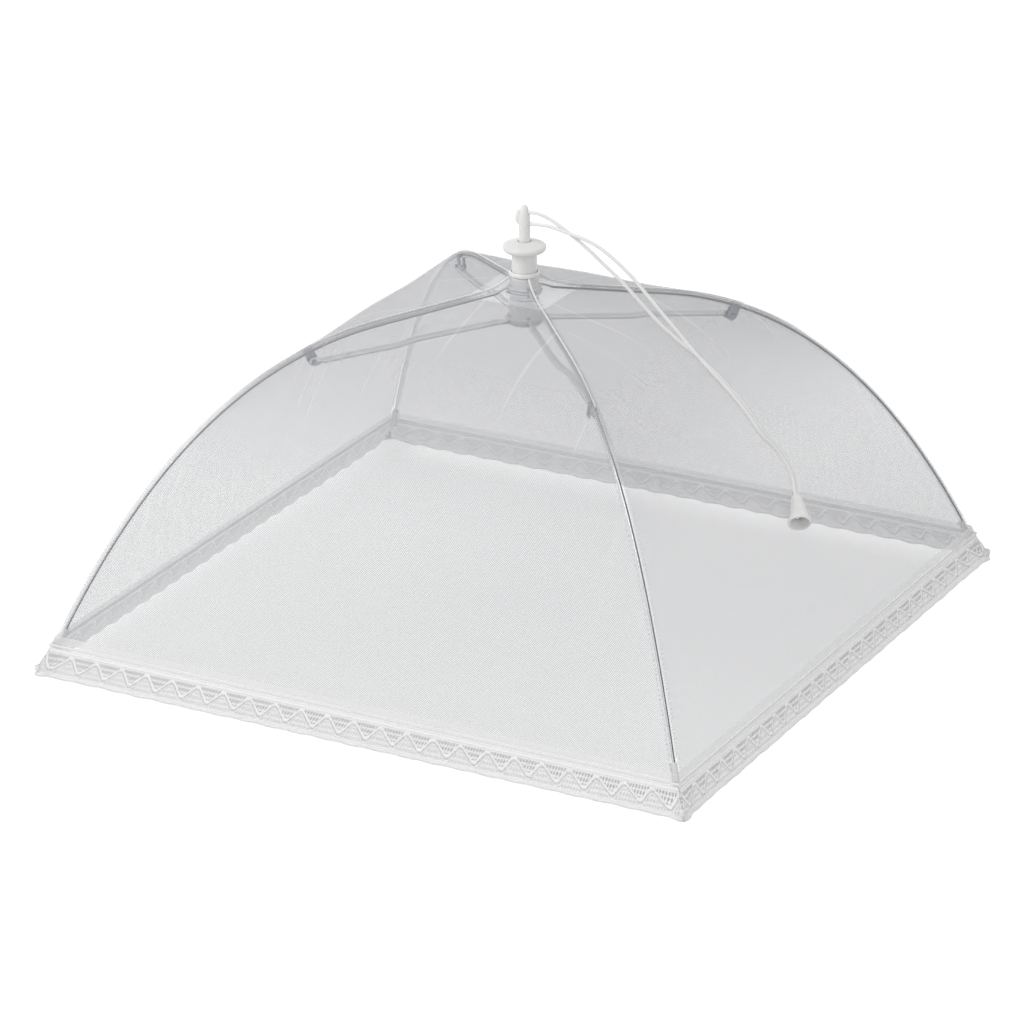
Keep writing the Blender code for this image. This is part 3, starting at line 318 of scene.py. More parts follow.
class RibLine:
    """The line of a rib and of the net over it.

    The slope is the crown's slope plus (far slope - crown slope) * tanh((along - bend from) / bend over).
    Distance out and height are the sums of its cosine and sine along the wire, and the tip stands at its
    given height. The net's line is the rib's line divided by the square root of 2, moved outwards, with a
    rise towards the neck.
    """

    def __init__(self):
        ribs, net = settings("ribs"), settings("net")
        self.ribs, self.cloth = ribs, net
        self.along = np.linspace(0, 1.2 * ribs.rib_length, 2401)
        bend = np.tanh(np.maximum(self.along - ribs.bend_from, 0) / ribs.bend_over)
        slope = ribs.crown_slope + (ribs.far_slope - ribs.crown_slope) * bend
        self.slope = np.where(self.along > ribs.rib_length, np.interp(ribs.rib_length, self.along, slope),
                              slope)
        middle, step = (self.slope[1:] + self.slope[:-1]) / 2, self.along[1]
        self.out = ribs.ring_radius + np.concatenate([[0], np.cumsum(np.cos(middle) * step)])
        drop = np.concatenate([[0], np.cumsum(np.sin(middle) * step)])
        self.crown_z = ribs.tip_height + float(np.interp(ribs.rib_length, self.along, drop))
        self.high = self.crown_z - drop
        top = math.atan(DIAGONAL * math.tan(ribs.crown_slope))
        rib_high = float(np.interp(net.top_half * DIAGONAL, self.out, self.high))
        unraised = rib_high + (net.over_wire + NET_TOP_OFFSET) * math.cos(top)
        self.rise = self.crown_z + net.top_rise - unraised

    def at(self, along):
        """(distance out, height, slope) at places along the rib."""
        return tuple(np.interp(along, self.along, values) for values in (self.out, self.high, self.slope))

    def net(self, along, off):
        """(x, z) of the right-hand gore over places along the rib, moved outwards by off."""
        out, high, slope = self.at(along)
        gore = np.arctan(DIAGONAL * np.tan(slope))
        x = out / DIAGONAL
        near = 1 - np.clip((x - self.cloth.top_half) / self.cloth.rise_over, 0, 1)
        return x + off * np.sin(gore), high + off * np.cos(gore) + self.rise * near ** self.cloth.rise_power

    def where_height(self, off, height):
        """The place along the rib where the net's line moved by off comes down to a height."""
        x, z = self.net(self.along, off)
        return float(np.interp(-height, -z[50:], self.along[50:]))

    def net_top(self):
        x, z = self.net(self.along, self.cloth.over_wire)
        return float(np.interp(self.cloth.top_half, x, self.along))


def unit(vectors):
    """Vectors brought to a length of 1."""
    return vectors / np.linalg.norm(vectors, axis=-1, keepdims=True)


def stacked(*values):
    """Values of several shapes, spread over one grid and joined as points or UV pairs."""
    return np.stack(np.broadcast_arrays(*values), -1)


def full_turn(steps):
    """Angles once round, without the last, which is the first again."""
    return np.linspace(0, 2 * math.pi, steps, endpoint=False)


def run_along(*axes):
    """The distance run at each point of a line, whose coordinates are given axis by axis."""
    return np.concatenate([[0], np.cumsum(np.linalg.norm([np.diff(axis) for axis in axes], axis=0))])


def corner_turn(quarter):
    """The direction of a corner, as an angle about the upright axis."""
    return (quarter + 0.5) * math.pi / 2


def quarter_turn(points, quarter):
    """Points turned about the upright axis by a whole number of quarters."""
    x, y, z = np.moveaxis(points, -1, 0)
    for _ in range(quarter % 4):
        x, y = -y, x
    return np.stack([x, y, z], -1)


def on_diagonal(out, high, side, quarter):
    """A point of a rib's own plane: distance out along the corner's diagonal, height, and distance to its
    side."""
    turn = corner_turn(quarter)
    x = out * math.cos(turn) - side * math.sin(turn)
    y = out * math.sin(turn) + side * math.cos(turn)
    return stacked(x, y, high)


def smooth_share(value):
    """0 below 0, 1 above 1, and the cubic 3 v^2 - 2 v^3 between."""
    value = np.clip(value, 0, 1)
    return value * value * (3 - 2 * value)


@contextmanager
def edited(mesh):
    """The mesh open for edits, which are written back at the end."""
    work = bmesh.new()
    work.from_mesh(mesh)
    yield work
    work.to_mesh(mesh)
    work.free()


def vertex_points(mesh):
    points = np.empty(3 * len(mesh.vertices), np.float32)
    mesh.vertices.foreach_get("co", points)
    return points.reshape(-1, 3)


def grid_mesh(name, points, uvs=None, wrap_rows=False, wrap_columns=False, flip=False, merge=True):
    """A mesh of four-sided faces over a grid of points of shape (rows, columns, 3). A wrapped direction
    closes on itself, and its UV arrays hold one more line than the points."""
    rows, columns = points.shape[:2]
    i, j = np.meshgrid(np.arange(rows if wrap_rows else rows - 1),
                       np.arange(columns if wrap_columns else columns - 1), indexing="ij")
    i, j = i.ravel(), j.ravel()
    order = ((0, 0), (1, 0), (1, 1), (0, 1))
    if flip:
        order = order[::-1]
    corner_i = np.stack([i + a for a, _ in order], -1)
    corner_j = np.stack([j + b for _, b in order], -1)
    faces = (corner_i % rows) * columns + corner_j % columns
    mesh = bpy.data.meshes.new(name)
    mesh.from_pydata(points.reshape(-1, 3).tolist(), [], faces.tolist())
    for uv_name, uv in (uvs or {}).items():
        layer = mesh.uv_layers.new(name=uv_name)
        layer.data.foreach_set("uv", uv[corner_i, corner_j].reshape(-1).astype(np.float32))
    if merge:
        with edited(mesh) as work:
            bmesh.ops.remove_doubles(work, verts=work.verts, dist=MERGE_DISTANCE)
    mesh.update()
    return mesh


def closed(mesh):
    """The mesh with the normals of a closed surface turned outwards."""
    with edited(mesh) as work:
        bmesh.ops.recalc_face_normals(work, faces=work.faces)
        if work.calc_volume(signed=True) < 0:
            bmesh.ops.reverse_faces(work, faces=work.faces)
    return mesh


def smooth_item(mesh, material):
    """A mesh as an object of the scene, smoothly shaded, in one material."""
    mesh.materials.clear()
    mesh.materials.append(material)
    mesh.polygons.foreach_set("use_smooth", [True] * len(mesh.polygons))
    item = bpy.data.objects.new(mesh.name, mesh)
    bpy.context.collection.objects.link(item)
    return item


def show(mesh, material, body, nodes=(), sharp=None):
    """Show a mesh as a piece that rides on a body and stands for CAD nodes. Edges over the sharp angle, in
    degrees, stay sharp."""
    item = smooth_item(mesh, material)
    if sharp:
        mesh.set_sharp_from_angle(angle=math.radians(sharp))
    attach(item, body)
    if nodes:
        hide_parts(*nodes)
    return item


def thicken(item, thickness, rim=True):
    """Give a sheet its thickness. The net's halves need no rim, because each meets the next edge to
    edge."""
    wall = item.modifiers.new("Thickness", "SOLIDIFY")
    wall.thickness = thickness
    wall.offset = 0.0
    wall.use_even_offset = False
    wall.use_rim = rim
    return item


def walled(name, points, uv, thickness):
    """A sheet with its own two faces: the sheet moved half the thickness each way along its normal, joined
    along its top and its foot, and brought together at the last column. The first column stays open, where
    its mirror image goes on."""
    normal = unit(np.cross(np.gradient(points, axis=0), np.gradient(points, axis=1)))
    half = np.full(points.shape[1], thickness / 2)
    half[-1] = 0.0
    wall = normal * half[None, :, None]
    loop = np.concatenate([points + wall, (points - wall)[::-1]])
    uv_loop = np.concatenate([uv, uv[::-1], uv[:1]])
    return grid_mesh(name, loop, {"weave": uv_loop}, wrap_rows=True)


def refined_copy(node, name, material, body, rounding, sharp=40):
    """A copy of a CAD node with its doubles merged, its flats made whole and its edges rounded."""
    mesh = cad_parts[node].data.copy()
    mesh.name = name
    with edited(mesh) as work:
        bmesh.ops.remove_doubles(work, verts=work.verts, dist=MERGE_DISTANCE)
        bmesh.ops.dissolve_limit(work, angle_limit=math.radians(FLAT_DEGREES), verts=work.verts,
                                 edges=work.edges)
    item = show(mesh, material, body, [node], sharp=sharp)
    edges = item.modifiers.new("Rounded edges", "BEVEL")
    edges.width = rounding
    edges.segments = 2
    edges.limit_method = "ANGLE"
    edges.angle_limit = math.radians(sharp)
    edges.use_clamp_overlap = True
    return item


def strip_map(item, line, quarter):
    """A UV map for a strut: height over the line from its ring to its rivet, and distance out along its
    corner's diagonal."""
    mesh = item.data
    x, y, z = vertex_points(mesh).T
    turn = corner_turn(quarter)
    out = x * math.cos(turn) + y * math.sin(turn)
    high = z - (line.crown_z - settings("hubs").runner_drop) + STRUT_FALL * (out - line.ribs.ring_radius)
    corner = np.empty(len(mesh.loops), np.int32)
    mesh.loops.foreach_get("vertex_index", corner)
    layer = mesh.uv_layers.new(name="strip")
    layer.data.foreach_set("uv", np.stack([high, out], -1)[corner].reshape(-1).astype(np.float32))


def rounded_outline(corners, rounding, steps=5):
    """An outline with each corner replaced by a curve (1-t)^2 A + 2t(1-t) P + t^2 B, whose ends A and B lie
    on its two sides."""
    corners = np.array(corners, float)
    before, after = np.roll(corners, 1, 0), np.roll(corners, -1, 0)
    to_before, to_after = before - corners, after - corners
    long_before, long_after = np.linalg.norm(to_before, axis=1), np.linalg.norm(to_after, axis=1)
    reach = np.minimum(rounding, 0.45 * np.minimum(long_before, long_after))[:, None]
    a = corners + to_before / long_before[:, None] * reach
    b = corners + to_after / long_after[:, None] * reach
    t = np.linspace(0, 1, steps)[None, :, None]
    curve = (1 - t) ** 2 * a[:, None] + 2 * t * (1 - t) * corners[:, None] + t * t * b[:, None]
    return curve.reshape(-1, 2)


def lathe(name, outline, steps):
    """A closed outline of (radius, height) carried round the upright axis."""
    turn = full_turn(steps)[None, :]
    radius, height = outline[:, 0:1], outline[:, 1:2]
    points = stacked(radius * np.cos(turn), radius * np.sin(turn), height)
    return closed(grid_mesh(name, points, wrap_rows=True, wrap_columns=True))


def slotted_lathe(name, below, beside, above, slot_half, slot_floor, steps):
    """A closed outline of (radius, height) carried round the upright axis, with four parallel-sided slots
    at the corners.

    Of the outline's three runs, beside is the one that the slots cut. A column of the grid is either a
    share of the arc between two slots, whose ends are at the angle asin(slot half width / radius) from a
    corner, or a share across a slot, where the radius is at most the slot floor's in the cut run.
    """
    beside = np.concatenate([beside[:1], beside, beside[-1:]])
    outline = np.concatenate([below, beside, above])
    cut = np.zeros(len(outline), bool)
    cut[len(below) + 1:len(below) + len(beside) - 1] = True
    radius, height = outline[:, 0:1], outline[:, 1:2]
    floor = np.where(cut[:, None], np.minimum(radius, slot_floor), radius)
    across = np.linspace(-1, 1, 5)[None, :]
    arc = np.linspace(0, 1, steps)[None, :]
    edge = np.arcsin(slot_half / radius)
    slot_turn = np.arcsin(slot_half * across / floor)
    arc_turn = edge + (math.pi / 2 - 2 * edge) * arc
    turns = np.concatenate([slot_turn, arc_turn], 1)
    radii = np.concatenate([floor + 0 * across, radius + 0 * arc], 1)
    corner = (np.arange(4) + 0.5)[None, :, None] * math.pi / 2
    turns = (corner + turns[:, None, :]).reshape(len(outline), -1)
    radii = np.tile(radii, (1, 4))
    points = stacked(radii * np.cos(turns), radii * np.sin(turns), height)
    return closed(grid_mesh(name, points, wrap_rows=True, wrap_columns=True))


def tube(name, path, radius, sides, reference):
    """A round tube: each point of the path carries a circle across its direction, measured from the
    reference direction. Its two ends are closed by a round cap."""
    way = unit(np.gradient(path, axis=0))
    radius = np.broadcast_to(radius, len(path)).astype(float)
    swell = np.array([0.0, 0.5, 0.85])
    back = np.array([1.0, 0.87, 0.5]) * 0.5
    start = path[0] - way[0] * (back * radius[0])[:, None]
    stop = path[-1] + way[-1] * (back[::-1] * radius[-1])[:, None]
    path = np.concatenate([start, path, stop])
    way = np.concatenate([np.repeat(way[:1], 3, 0), way, np.repeat(way[-1:], 3, 0)])
    radius = np.concatenate([swell * radius[0], radius, swell[::-1] * radius[-1]])
    reference = np.broadcast_to(reference, (len(path) - 6, 3))
    reference = np.concatenate([reference[:1]] * 3 + [reference] + [reference[-1:]] * 3)
    side = unit(reference - way * np.sum(reference * way, axis=1)[:, None])
    up = np.cross(way, side)
    turn = full_turn(sides)
    circle = np.cos(turn)[None, :, None] * side[:, None] + np.sin(turn)[None, :, None] * up[:, None]
    points = path[:, None] + radius[:, None, None] * circle
    run = run_along(*path.T)
    around = np.linspace(0, 2 * math.pi * float(radius.max()), sides + 1)
    uv = stacked(around[None, :], run[:, None])
    return closed(grid_mesh(name, points, {"weave": uv}, wrap_columns=True))


def turn_to(points, axis, at):
    """Points of a lathe's frame moved so that its upright axis lies along a direction from a place."""
    axis = unit(np.array(axis))
    side = unit(np.cross(axis, (0.0, 0.0, 1.0)))
    across, beside, high = points[..., 0:1], points[..., 1:2], points[..., 2:3]
    return across * side + beside * np.cross(axis, side) + high * axis + np.array(at)


def place_mesh(mesh, axis, at):
    """A lathe's mesh moved onto an axis."""
    mesh.vertices.foreach_set("co", turn_to(vertex_points(mesh), axis, at).ravel().astype(np.float32))
    return closed(mesh)


class Value:
    """A socket on which Python expressions add Math nodes."""

    def __init__(self, tree, socket):
        self.tree, self.socket = tree, socket

    def math(self, operation, *values):
        node = self.tree.nodes.new("ShaderNodeMath")
        node.operation = operation
        for place, value in zip(node.inputs, values):
            give(self.tree, place, value)
        return Value(self.tree, node.outputs[0])

    def __add__(self, other):
        return self.math("ADD", self, other)

    __radd__ = __add__

    def __sub__(self, other):
        return self.math("SUBTRACT", self, other)

    def __rsub__(self, other):
        return self.math("SUBTRACT", other, self)

    def __mul__(self, other):
        return self.math("MULTIPLY", self, other)

    __rmul__ = __mul__

    def __truediv__(self, other):
        return self.math("DIVIDE", self, other)

    def __rtruediv__(self, other):
        return self.math("DIVIDE", other, self)

    def __abs__(self):
        return self.math("ABSOLUTE", self)

    def lower_of(self, other):
        return self.math("MINIMUM", self, other)

    def higher_of(self, other):
        return self.math("MAXIMUM", self, other)

    def root(self):
        return self.math("SQRT", self)

    def wave(self, period):
        """A sine of this value, with a period of its own unit."""
        return self.math("SINE", self * (2 * math.pi / period))

    def near(self, period):
        """The distance to the nearest whole number of periods."""
        return self.math("PINGPONG", self, period / 2)

    def rise(self, low, high):
        """0 below low, 1 above high, smooth between."""
        node = self.tree.nodes.new("ShaderNodeMapRange")
        node.interpolation_type = "SMOOTHSTEP"
        for place, value in zip(node.inputs, (self, low, high, 0.0, 1.0)):
            give(self.tree, place, value)
        return Value(self.tree, node.outputs[0])

    def fall(self, low, high):
        return 1 - self.rise(low, high)


def give(tree, place, value):
    """Link a socket to an input, or set the input's own value."""
    if isinstance(value, Value):
        tree.links.new(value.socket, place)
    else:
        place.default_value = value


def seen_directly(tree):
    """1 for what is seen straight, in a reflection or through an open mesh, and 0 for the light on other
    pieces."""
    path = tree.nodes.new("ShaderNodeLightPath")
    straight, glossy, through = (Value(tree, path.outputs[place]) for place in (0, 3, 6))
    return straight.higher_of(glossy).higher_of(through)


class Finish:
    """A material: its tree, its shader, and one method that adds any node."""

    def __init__(self, name):
        self.material = bpy.data.materials.new(name)
        self.material.use_nodes = True
        self.tree = self.material.node_tree
        self.shader = self.tree.nodes["Principled BSDF"]

    def add(self, kind, settings=None, values=None, out=0):
        node = self.tree.nodes.new(kind)
        for key, value in (settings or {}).items():
            setattr(node, key, value)
        for key, value in (values or {}).items():
            give(self.tree, node.inputs[key], value)
        return Value(self.tree, node.outputs[out])

    def split(self, vector):
        node = self.tree.nodes.new("ShaderNodeSeparateXYZ")
        self.tree.links.new(vector.socket, node.inputs[0])
        return tuple(Value(self.tree, socket) for socket in node.outputs)

    def map(self, name):
        """The two coordinates of a UV map."""
        return self.split(self.add("ShaderNodeUVMap", {"uv_map": name}))[:2]

    def place(self):
        return self.add("ShaderNodeTexCoord", out=3)

    def noise(self, vector, scale, detail=2.0, stretch=(1.0, 1.0, 1.0)):
        """Noise at so many grains in a metre, stretched along the axes."""
        vector = self.add("ShaderNodeMapping", values={"Vector": vector, "Scale": stretch})
        return self.add("ShaderNodeTexNoise", values={"Vector": vector, "Scale": scale, "Detail": detail})

    def point(self, x, y, z=0.0):
        return self.add("ShaderNodeCombineXYZ", values={0: x, 1: y, 2: z})

    def between(self, factor, first, second):
        """A colour between two."""
        first, second = (value if isinstance(value, Value) else (*value, 1.0) for value in (first, second))
        return self.add("ShaderNodeMix", {"data_type": "RGBA"}, {0: factor, 6: first, 7: second}, out=2)

    def bump(self, height, distance, strength=1.0):
        return self.add("ShaderNodeBump",
                        values={"Height": height, "Distance": distance, "Strength": strength})

    def surface(self, **values):
        """Set or link the shader's own sockets, written with underscores."""
        for key, value in values.items():
            give(self.tree, self.shader.inputs[key.replace("_", " ").title().replace("Ior", "IOR")], value)
        return self.material

    def cloth(self, cover, glow, color, **values):
        """A surface of pale threads that lets part of the light through them, with open holes where cover
        is 0."""
        self.surface(**values)
        front = Value(self.tree, self.shader.outputs[0])
        behind = self.add("ShaderNodeBsdfTranslucent", values={"Color": (*color, 1.0)})
        thread = self.add("ShaderNodeMixShader", values={0: glow, 1: front, 2: behind})
        hole = self.add("ShaderNodeBsdfTransparent", values={"Color": (1.0, 1.0, 1.0, 1.0)})
        both = self.add("ShaderNodeMixShader", values={0: cover, 1: hole, 2: thread})
        self.tree.links.new(both.socket, self.tree.nodes["Material Output"].inputs["Surface"])
        return self.material


def tint(color, factor):
    return tuple(min(1.0, channel * factor) for channel in color)


def moulded_plastic(name, color, grain=1.0):
    """Moulded white plastic: a faint flow pattern in the colour, a satin skin, and finer scratches along
    edges of use."""
    look = Finish(name)
    place = look.place()
    flow = look.noise(place, 160.0, 3.0, (1.0, 1.0, 0.35))
    fine = look.noise(place, 1800.0, 2.0)
    scuff = look.noise(place, 700.0, 4.0, (1.0, 1.0, 6.0)).rise(0.60, 0.72)
    shade = look.between(flow.rise(0.3, 0.7), tint(color, 0.965), tint(color, 1.02))
    return look.surface(
        base_color=look.between(scuff * 0.35, shade, tint(color, 0.93)),
        roughness=0.30 + 0.10 * flow + 0.12 * scuff,
        specular_ior_level=0.45,
        normal=look.bump(fine + 0.5 * scuff, 0.00002 * grain),
    )


def drawn_wire(name, color):
    """Nickel-plated drawn wire: one dark line a quarter of the way round, which is a painted reflection of
    dark surroundings, faint streaks along the wire, small dull spots, and the straightener's faint waves."""
    look = Finish(name)
    around, along = look.map("weave")
    lines = look.noise(look.point(around * 9000.0, along * 60.0), 1.0, 2.0)
    streaks = look.noise(look.point(around * 900.0, along * 6.0, 7.0), 1.0, 1.0).rise(0.40, 0.58)
    # Painted reflection: a dark band round the wire from its reference direction, then joined with the faint
    # drawing streaks.
    painted_reflection_and_streaks = (around + 0.0001 * lines).rise(0.00005, 0.00020) * around.fall(0.00115, 0.00140)
    painted_reflection_and_streaks = painted_reflection_and_streaks.higher_of(0.16 * streaks)
    dull = look.noise(look.point(around * 300.0, along * 260.0, 3.0), 1.0, 3.0).rise(0.60, 0.78)
    feed = along.wave(0.0031) * 0.5 + 0.5
    shade = look.between(painted_reflection_and_streaks, tint(color, 1.28), tint(color, 0.09))
    return look.surface(
        base_color=look.between(dull * 0.5, shade, tint(color, 0.72)),
        metallic=1.0,
        roughness=0.20 + 0.16 * dull + 0.05 * lines,
        normal=look.bump(lines + 0.25 * feed, 0.000015),
    )


def zinc_plate(name, color):
    """Zinc plate: cloudy bluish grey with brighter rubbed spots and a fine crystalline grain."""
    look = Finish(name)
    place = look.place()
    cloud = look.noise(place, 900.0, 4.0)
    grain = look.noise(place, 5200.0, 2.0)
    rub = look.noise(place, 1500.0, 3.0).rise(0.56, 0.68)
    cloudy = look.between(cloud, tint(color, 0.8), tint(color, 1.2))
    return look.surface(
        base_color=look.between(rub, cloudy, tint(color, 2.3)),
        metallic=1.0,
        roughness=0.42 - 0.16 * rub + 0.08 * cloud,
        normal=look.bump(grain, 0.00002),
    )


def rolled_steel(name, color):
    """Bright rolled strip: fine lines along it from the rolls, a light grey haze, and darker lower edges,
    partly the duller sheared edge and partly painted shade."""
    look = Finish(name)
    high, along = look.map("strip")
    lines = look.noise(look.point(high * 9000.0, along * 120.0), 1.0, 3.0)
    haze = look.noise(look.place(), 240.0, 3.0)
    # The lower edge is darker: partly the duller sheared edge, partly painted shade.
    edge = (high + 0.08 * 0.001 * haze).fall(-0.0006, -0.0001)
    bright = look.between(haze.rise(0.35, 0.65), tint(color, 0.95), tint(color, 1.12))
    return look.surface(
        base_color=look.between(edge, bright, tint(color, 0.42)),
        metallic=0.8,
        roughness=0.30 + 0.14 * haze,
        normal=look.bump(lines, 0.000015),
    )


def threads(look, x, y, pitch, width):
    """(share covered, height) of a diamond mesh: two families of threads at 45 degrees, each at one pitch,
    with knots where they cross."""
    first, second = ((x + y) / DIAGONAL).near(pitch), ((x - y) / DIAGONAL).near(pitch)
    nearest, farthest = first.lower_of(second), first.higher_of(second)
    knot = farthest.fall(0.7 * width, 1.4 * width)
    wide = width / 2 * (1 + 0.45 * knot)
    return (nearest / wide).fall(0.72, 1.18), (1 - nearest / wide).higher_of(0.0) + 0.6 * knot


def net_cloth(name, color, net):
    """Sheer nylon net: clear threads with a little fuzz between them, doubled and white over the hem, with a
    few faint creases beside the seams, which are painted paler as a highlight. The threads are painted
    darker towards the top as shade."""
    look = Finish(name)
    x, y = look.map("weave")
    from_ridge, from_hem = look.map("edges")
    drift = look.noise(look.point(x, y), 22.0, 1.0)
    warped_x, warped_y = x + 0.0016 * drift, y + 0.0016 * look.noise(look.point(x, y, 0.3), 22.0, 1.0)
    crease = look.noise(look.point(x * 230.0, y * 4.0), 1.0, 1.0).rise(0.60, 0.72)
    crease = crease * from_ridge.fall(0.030, 0.080)
    upper = from_hem.rise(0.08, 0.20)
    single, height = threads(look, warped_x, warped_y, net.pitch, net.thread * (1 + 0.80 * upper))
    single = net.fuzz_cover * (1 + upper) + net.thread_cover * single
    single = single * (1 - 0.85 * from_ridge.fall(0.0020, 0.0034) * from_hem.fall(0.13, 0.16))
    band = from_hem.fall(0.9 * net.hem_band, net.hem_band)
    shifted = warped_x + 0.31 * net.pitch, warped_y + 0.12 * net.pitch
    doubled, _ = threads(look, *shifted, net.pitch, net.thread)
    seam = abs(from_ridge - 0.8 * net.seam_band).fall(0.00010, 0.00018)
    seam = seam * y.near(0.0022).rise(0.0002, 0.0004)
    # Painted highlight: the creases are painted paler; the hem band is white.
    pale = (crease * 0.3).higher_of(band).lower_of(1.0)
    # Painted shade: the threads darken towards the top of the net.
    shade = look.between(0.8 * upper + 0.2 * drift, tint(color, 1.18), tint(color, 0.97))
    return look.cloth(
        single.higher_of(0.6 * doubled * band).higher_of(seam * 0.5), 0.30, color,
        base_color=look.between(pale, shade, (0.97, 0.97, 0.97)),
        roughness=0.62,
        specular_ior_level=0.25,
        normal=look.bump(height + 1.5 * crease, 0.00006, 0.5),
    )


def neck_cloth(name, color, net):
    """The net round the neck: the same mesh, a little closer towards the clamp ring, and painted lighter
    than the gores, in streaks where it gathers."""
    look = Finish(name)
    x, y = look.map("weave")
    from_ridge, from_top = look.map("edges")
    near = from_top.fall(0.003, 0.012)
    single, height = threads(look, x, y, net.pitch, net.thread * (1.3 + 0.5 * near))
    # Painted light: the threads here are a lighter copy of the net's colour, lighter still in streaks where
    # the net gathers.
    painted_gather_highlight = look.noise(look.point(look.map("fan")[0] * 9.0, y * 20.0), 1.0, 1.0)
    return look.cloth(
        net.fuzz_cover + net.thread_cover * single, 0.30, color,
        base_color=look.between(painted_gather_highlight.rise(0.35, 0.65), tint(color, 1.30), tint(color, 1.45)),
        roughness=0.62,
        specular_ior_level=0.25,
        normal=look.bump(height, 0.00006, 0.5),
    )


def lace_cloth(name, color, net):
    """Knitted lace: a solid heading, a waving solid band in an open ground, and a solid lower edge.

    The band runs along y = middle(x), a triangle wave with its tips cut off. The ground is a sheer knit with
    rows of slanting holes, filled with painted shade and made more opaque, which are fainter under the band.
    The groove under the band is darkened with painted shade too.
    """
    look = Finish(name)
    x, y = look.map("weave")
    deep = net.lace_top
    turn = x / net.lace_repeat
    ramp = turn.near(1.0) * 4 - 1
    zigzag = (ramp * 1.35).lower_of(1.0).higher_of(-1.0)
    from_band = y - (deep * 0.42 + zigzag * (deep * 0.20))
    heading = y.fall(0.0015, 0.0019)
    ribbon = abs(from_band).fall(0.00055, 0.00085)
    groove = abs(from_band - 0.00140).fall(0.00020, 0.00045) * (y - deep * 0.84).fall(0.0, 0.0005)
    groove = groove * (0.35 + 0.65 * x.near(0.0017).rise(0.00025, 0.00045))
    second = abs(from_band - 0.0022).fall(0.00035, 0.00060)
    foot = (y - deep * 0.85).rise(0.0, 0.0006)
    solid = heading.higher_of(ribbon).higher_of(second).higher_of(foot)
    across, down = (x + 0.50 * y).near(0.00160), (y - 0.0034).near(0.0024)
    dot = (across * across + 0.20 * down * down).root().fall(0.00030, 0.00052)
    dot = dot * (1 - solid) * (1 - 0.4 * from_band.rise(0.0, 0.0005))
    knit = (x + y).near(0.00062) / 0.00031 + (x - y).near(0.00062) / 0.00031
    relief = 1.3 * ribbon + heading + 0.9 * foot + 0.8 * second - 0.8 * dot - 1.2 * groove + 0.10 * knit
    wear = look.noise(look.point(x, y), 300.0, 2.0)
    ground = look.between(wear, tint(color, 0.95), tint(color, 1.01))
    white = look.between(ribbon.higher_of(heading), ground, tint(color, 1.05))
    # Painted shade: the holes and the groove under the band are darkened, and the holes are made more opaque
    # to carry it.
    dark = look.between((dot * 0.9).higher_of(groove * 0.55), white, tint(color, 0.32))
    return look.cloth(
        0.60 + 0.28 * solid.higher_of(groove) + 0.40 * dot, 0.40, color,
        base_color=dark,
        roughness=0.66,
        specular_ior_level=0.25,
        normal=look.bump(relief, 0.00020, 0.8),
    )


def seam_tape_cloth(name, color):
    """Sheer seam binding: fine pale threads along and across it, a closed ridge over the wire near the
    crown, an open one further down, and a line of stitches on each side."""
    look = Finish(name)
    across, along = look.map("weave")
    edge = abs(across)
    weft = along.near(0.00130).fall(0.00006, 0.00012)
    warp = across.near(0.00120).fall(0.00005, 0.00010)
    weave = weft.higher_of(warp) * (1 - 0.85 * edge.fall(0.0010, 0.0020) * along.rise(0.085, 0.105))
    ridge = 0.8 * edge.fall(0.0006, 0.0010) * along.fall(0.045, 0.075)
    stitch = abs(edge - 0.0022).fall(0.00010, 0.00018) * along.near(0.0021).rise(0.00025, 0.00045)
    return look.cloth(
        weave.higher_of(ridge).higher_of(stitch), 0.25, color,
        base_color=look.between(stitch, tint(color, 0.98), tint(color, 1.04)),
        roughness=0.6,
        specular_ior_level=0.25,
        normal=look.bump(weft + warp + 2.0 * stitch, 0.00005, 0.5),
    )


def rolled_hem(name, color):
    """The corded roll: overlocked thread that slants round it, over a sheer net."""
    look = Finish(name)
    around, along = look.map("weave")
    wrap = (along + 0.35 * around).near(0.0011) / 0.00055
    fuzz = look.noise(look.point(around, along), 900.0, 2.0)
    return look.cloth(
        1.0, 0.20, color,
        base_color=look.between(wrap, tint(color, 0.92), tint(color, 1.03)),
        roughness=0.7,
        specular_ior_level=0.2,
        normal=look.bump(wrap + 0.2 * fuzz, 0.00008, 0.8),
    )


def braided_cord(name, color, cord):
    """Braided cord: two families of strands that cross round it, each with its own sheen, and a little
    fuzz."""
    look = Finish(name)
    around, along = look.map("weave")
    step = 2 * math.pi * cord.radius / 6
    first = (around + along * 0.9).near(step) / (step / 2)
    second = (around - along * 0.9).near(step) / (step / 2)
    over = first.lower_of(second)
    fuzz = look.noise(look.point(around, along), 2600.0, 2.0)
    return look.surface(
        base_color=look.between(over, tint(color, 0.95), tint(color, 1.03)),
        roughness=0.58 + 0.1 * fuzz,
        specular_ior_level=0.3,
        normal=look.bump(over + 0.15 * fuzz, 0.00006, 0.8),
    )


MADE = {}


